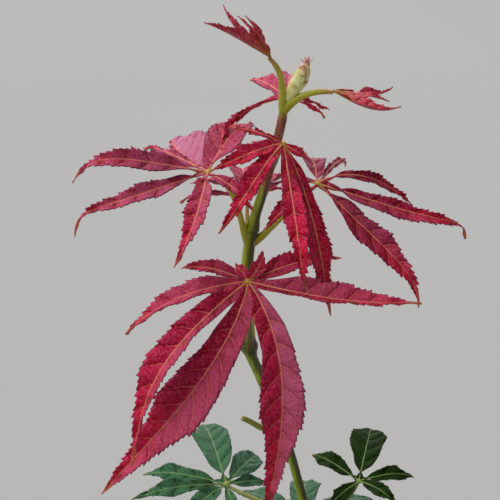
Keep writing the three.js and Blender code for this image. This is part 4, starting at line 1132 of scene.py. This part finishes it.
blue_green = blade_finish("blue_green_blade", (28, 80, 46), (64, 118, 72), (124, 164, 104),
                          (34, 66, 46), (120, 96, 60), gloss=0.5, sheen=(0.7, 1.0, 0.8, 1.0))
dark_green = blade_finish("dark_green_blade", (14, 44, 4), (36, 72, 10), (96, 120, 46),
                          (70, 54, 26), (124, 74, 50), vein_share=0.4, gloss=0.08)
green_rib = stalk_skin("green_rib", (140, 160, 70), (122, 152, 88), (100, 130, 76))
for place, (node, leaf) in enumerate(GREEN_LEAVES.items()):
    if "axis" in leaf:
        leaf["lobes"] = fan_lobes(unit(leaf["axis"]), unit(leaf["face"]), leaf["size"], 3)
    skin = dark_green if node == "leaf_green_right" else blue_green
    make_leader_leaf(node, leaf, 100 * place + 901, skin, green_rib, "green_leaf", GREEN_LOOK)


# Boughs and foliage masses: four short boughs near the stem's foot, each going on as a twig with
# pairs of green fan leaves and finer side twigs with smaller ones.

BOUGHS = {
    "left": dict(level=164, turn=188, reach=27, rise=29, seed=11),
    "right": dict(level=164, turn=4, reach=28, rise=33, seed=23),
    "front": dict(level=182, turn=276, reach=25, rise=27, seed=37),
    "back": dict(level=178, turn=98, reach=22, rise=6, seed=53),
}
BOUGH_RADIUS, BOUGH_TIP, BOUGH_ROOT = 1.9, 1.2, 2.8
BOUGH_START_RISE, BOUGH_END_RISE = 1.2, 0.45
BOUGH_SWELL, BOUGH_KNOTS = 0.5, 0.04
BOUGH_STEPS, BOUGH_SIDES = 60, 24
TWIG_REACH, TWIG_RISE, TWIG_SAG, TWIG_TIP, TWIG_ROOT = 40, 5, 0.25, 0.6, 0.6
TWIG_STEPS = 41
TWIG_PAIRS = [0.3, 0.68, 1]
TWIG_STALKS = [21, 17, 13]
TWIG_LEAVES = [36, 32, 30]
STALK_FORWARD = 0.75
SHOOT_REACH, SHOOT_RISE, SHOOT_TIP = 19, 0.15, 0.35
SHOOT_STEPS = 20
SHOOT_PAIRS = [0.45, 0.75, 1]
SHOOT_LEAVES = [17, 16, 14]
SHOOT_STALK, SHOOT_STALK_RADIUS = 6.5, 0.3
LEVEL_PAIR = dict(spread=1, lift=0.25, split=0)
UPRIGHT_PAIR = dict(spread=0.45, lift=0.3, split=0.75)
MASS_LOOK = {**LEADER_LOOK, "tooth_pitch": 2.4, "tooth_depth": 0.6, "fold": 0.28}
SHOOT_LOOK = {**LEADER_LOOK, "tooth_pitch": 2.6, "tooth_depth": 0.5, "fold": 0.3, "row": 1.1,
              "wave": 0.15, "pucker": 0.2, "vein_pitch": 3.2}


def between(low, high, n):
    return low + (high - low) * float(chance(n))


def bough_bark():
    bark = Finish("bough_bark")
    streak = bark.noise(700, 4)
    bark.base(bark.ease(streak, 0.35, 0.7), (92, 78, 50), (134, 124, 84))
    bark.coat(bark.ease(bark.noise(120), 0.45, 0.7, 0, 0.7), (104, 118, 48))
    bark.rough(streak, 0.6, 0.8)
    return bark.done(streak, 0.25)


bough_skin = bough_bark()
twig_skin = stalk_skin("twig_skin", (118, 110, 60), (140, 142, 60), (150, 110, 60))
spray_green = blade_finish("spray_green_blade", (40, 82, 48), (84, 128, 66), (150, 176, 100),
                           (70, 66, 34), (126, 84, 52), vein_share=0.35, young=(140, 148, 62),
                           gloss=0.4)


def add_bough(side, level, end, out):
    """A bough that leaves the stem steeply, thick at its foot, and bends outwards. It gives the
    way in which it arrives at its end."""
    foot, start = foot_on_stem(level, end, BOUGH_START_RISE, BOUGH_RADIUS)
    arrive = unit(out + UP * BOUGH_END_RISE)
    path = rooted(bending(foot, start, end, arrive, BOUGH_STEPS), start, BOUGH_ROOT)
    step = np.arange(len(path))
    radius = np.linspace(BOUGH_RADIUS, BOUGH_TIP, len(path))
    radius = radius * (1 + BOUGH_SWELL * np.exp(-step / 3)) * (1 + BOUGH_KNOTS * np.sin(step * 1.7))
    shell = Shell()
    limb(shell, path, radius, BOUGH_SIDES)
    shell.piece("bough_limb_" + side, bough_skin, "bough", ["bough_" + side])
    return arrive


def add_fan(twig_shell, leaf_shell, foot, way, heart, axis, tilt, size, stalk, seed, **values):
    """A fan leaf of a mass on a stalk of so many steps, radius and sides. Its face is upright,
    tilted a little, and square to its axis."""
    steps, radius, sides = stalk
    face = unit(UP + tilt - axis * axis[2])
    limb(twig_shell, bending(foot, way, heart, unit(axis + face), steps), radius, sides)
    add_blade(leaf_shell, heart, face, {"lobes": fan_lobes(axis, face, size, 2)}, seed, **values)


def add_shoot(twig_shell, leaf_shell, origin, way, n):
    """A finer twig in the angle of a leaf: it bends upwards, and carries crossed pairs of small leaves. The
    younger the pair, the more of a yellow green tint it has."""
    reach = SHOOT_REACH * between(0.8, 1.1, n + 600)
    end = origin + way * reach + UP * SHOOT_RISE * reach
    path = bending(origin, way, end, unit(way + 0.4 * UP), SHOOT_STEPS)
    limb(twig_shell, path, np.linspace(TWIG_TIP, SHOOT_TIP, SHOOT_STEPS), 6)
    flat = unit(np.cross(UP, way))
    for pair, at in enumerate(SHOOT_PAIRS):
        foot = path[int(round(at * (SHOOT_STEPS - 1)))]
        side = flat if pair % 2 == 0 else unit(np.cross(way, flat))
        for hand in (-1, 1):
            m = n + 700 + 10 * pair + hand
            leaf_way = unit(hand * side * 0.9 + way * between(0.5, 0.9, m) + 0.25 * UP)
            heart = foot + leaf_way * SHOOT_STALK * between(0.8, 1.2, m + 0.3)
            axis = leaf_way * [1, 1, 0]
            axis = unit(axis + [0, 0, -between(0.15, 0.45, m + 0.5) * np.linalg.norm(axis)])
            size = SHOOT_LEAVES[pair] * between(0.85, 1.15, m + 0.9)
            add_fan(twig_shell, leaf_shell, foot, leaf_way, heart, axis,
                    flat * between(-0.3, 0.3, m + 0.7), size, (8, SHOOT_STALK_RADIUS, 5), int(7 * m),
                    columns=2, look=SHOOT_LOOK, spray=0.25 + 0.25 * pair * between(0.5, 1, m + 1.1))


def add_mass(side, root, arrive, out, seed):
    """A mass of foliage: a twig that goes on from the bough and sags, with pairs of fan leaves that
    lie level and upright by turns, and a finer twig in the angle of each leaf."""
    twig_shell, leaf_shell = Shell(), Shell()
    across = np.cross(UP, out)
    tip = root + out * TWIG_REACH + UP * TWIG_RISE
    twig = bending(root, arrive, tip, unit(out - TWIG_SAG * UP), TWIG_STEPS)
    limb(twig_shell, np.concatenate([root[None] - arrive * TWIG_ROOT, twig]),
         np.linspace(BOUGH_TIP, TWIG_TIP, TWIG_STEPS + 1), 10)
    for pair, at in enumerate(TWIG_PAIRS):
        kind = LEVEL_PAIR if pair % 2 == 0 else UPRIGHT_PAIR
        origin = twig[int(round(at * (TWIG_STEPS - 1)))]
        for hand in (-1, 1):
            n = seed + 2 * pair + (hand + 1) / 2
            way = unit(across * hand * kind["spread"] * between(0.9, 1.2, n) + out * STALK_FORWARD
                       + UP * (kind["lift"] + kind["split"] * hand))
            heart = origin + way * TWIG_STALKS[pair] * between(0.85, 1.25, n + 100)
            axis = way + 0.3 * out
            axis[2] = -between(0.1, 0.4, n + 200)
            stalk = 16, stalk_radius(np.linspace(0, 1, 16)) * 0.8, 8
            size = TWIG_LEAVES[pair] * between(0.88, 1.12, n + 400)
            add_fan(twig_shell, leaf_shell, origin, way, heart, unit(axis),
                    across * hand * between(0, 0.3, n + 300), size, stalk, int(100 * n), columns=3,
                    look=MASS_LOOK, spray=0.35 * between(0, 1, n + 500))
            add_shoot(twig_shell, leaf_shell, origin, unit(way + 0.8 * out + 0.1 * UP), n)
    twig_shell.piece("twigs_" + side, twig_skin, "foliage", ["mass_" + side])
    leaf_shell.piece("leaves_" + side, spray_green, "foliage", ["mass_" + side])


for side, plan in BOUGHS.items():
    turn = math.radians(plan["turn"])
    out = np.array([math.cos(turn), math.sin(turn), 0])
    end = stem_at(plan["level"])[0] + out * plan["reach"] + UP * plan["rise"]
    arrive = add_bough(side, plan["level"], end, out)
    add_mass(side, end + arrive * GAP, arrive, out, plan["seed"])


# Floor, light and camera: a plain pale floor, a wide light from the upper left and a weaker one
# from behind, and the photograph's view of the top of the plant. The floor's reach and the
# camera's place are in metres.

FLOOR_REACH = 7.0
SKY_TINT, SKY_STRENGTH = (0.95, 0.96, 1.0, 1), 0.17
CAMERA_EYE = (-0.036, -0.2347, 0.4288)
CAMERA_PITCH = 21
CAMERA_LENS = 70.56
CAMERA_SENSOR = 36
CAMERA_NEAR = 0.01


def floor_finish():
    floor = Finish("studio_floor", Roughness=0.95)
    floor.base(floor.noise(0.6, 2), (169, 170, 167), (177, 178, 175))
    return floor.done()


floor_corners = [(x * FLOOR_REACH, y * FLOOR_REACH, 0) for x, y in ((-1, -1), (1, -1), (1, 1), (-1, 1))]
floor_mesh = bpy.data.meshes.new("studio_floor")
floor_mesh.from_pydata(floor_corners, [], [(0, 1, 2, 3)])
floor_mesh.materials.append(floor_finish())
studio_floor = bpy.data.objects.new("studio_floor", floor_mesh)
bpy.context.scene.collection.objects.link(studio_floor)


def day_light(name, strength, angle, way, tint):
    """A distant lamp as wide as a bright stretch of sky, which shines along a way."""
    lamp = bpy.data.lights.new(name, "SUN")
    lamp.energy, lamp.angle, lamp.color = strength, math.radians(angle), tint
    holder = bpy.data.objects.new(name, lamp)
    holder.rotation_euler = (math.atan2(math.hypot(way[0], way[1]), -way[2]), 0,
                             math.atan2(way[1], way[0]) - math.pi / 2)
    bpy.context.scene.collection.objects.link(holder)


day_light("open_sky", 2.85, 72, (0.5, 0.04, -0.86), (1.0, 0.98, 0.98))
day_light("far_sky", 1.1, 70, (0.12, -0.85, -0.5), (1.0, 0.96, 1.0))

world = bpy.data.worlds.new("studio")
world.use_nodes = True
sky = world.node_tree.nodes["Background"].inputs
sky["Color"].default_value = SKY_TINT
sky["Strength"].default_value = SKY_STRENGTH
bpy.context.scene.world = world
bpy.context.scene.view_settings.view_transform = "Standard"

camera_data = bpy.data.cameras.new("camera")
camera_data.lens = CAMERA_LENS
camera_data.sensor_width = CAMERA_SENSOR
camera_data.clip_start = CAMERA_NEAR
camera = bpy.data.objects.new("camera", camera_data)
camera.location = CAMERA_EYE
camera.rotation_euler = (math.radians(90 - CAMERA_PITCH), 0, 0)
bpy.context.scene.collection.objects.link(camera)
bpy.context.scene.camera = camera
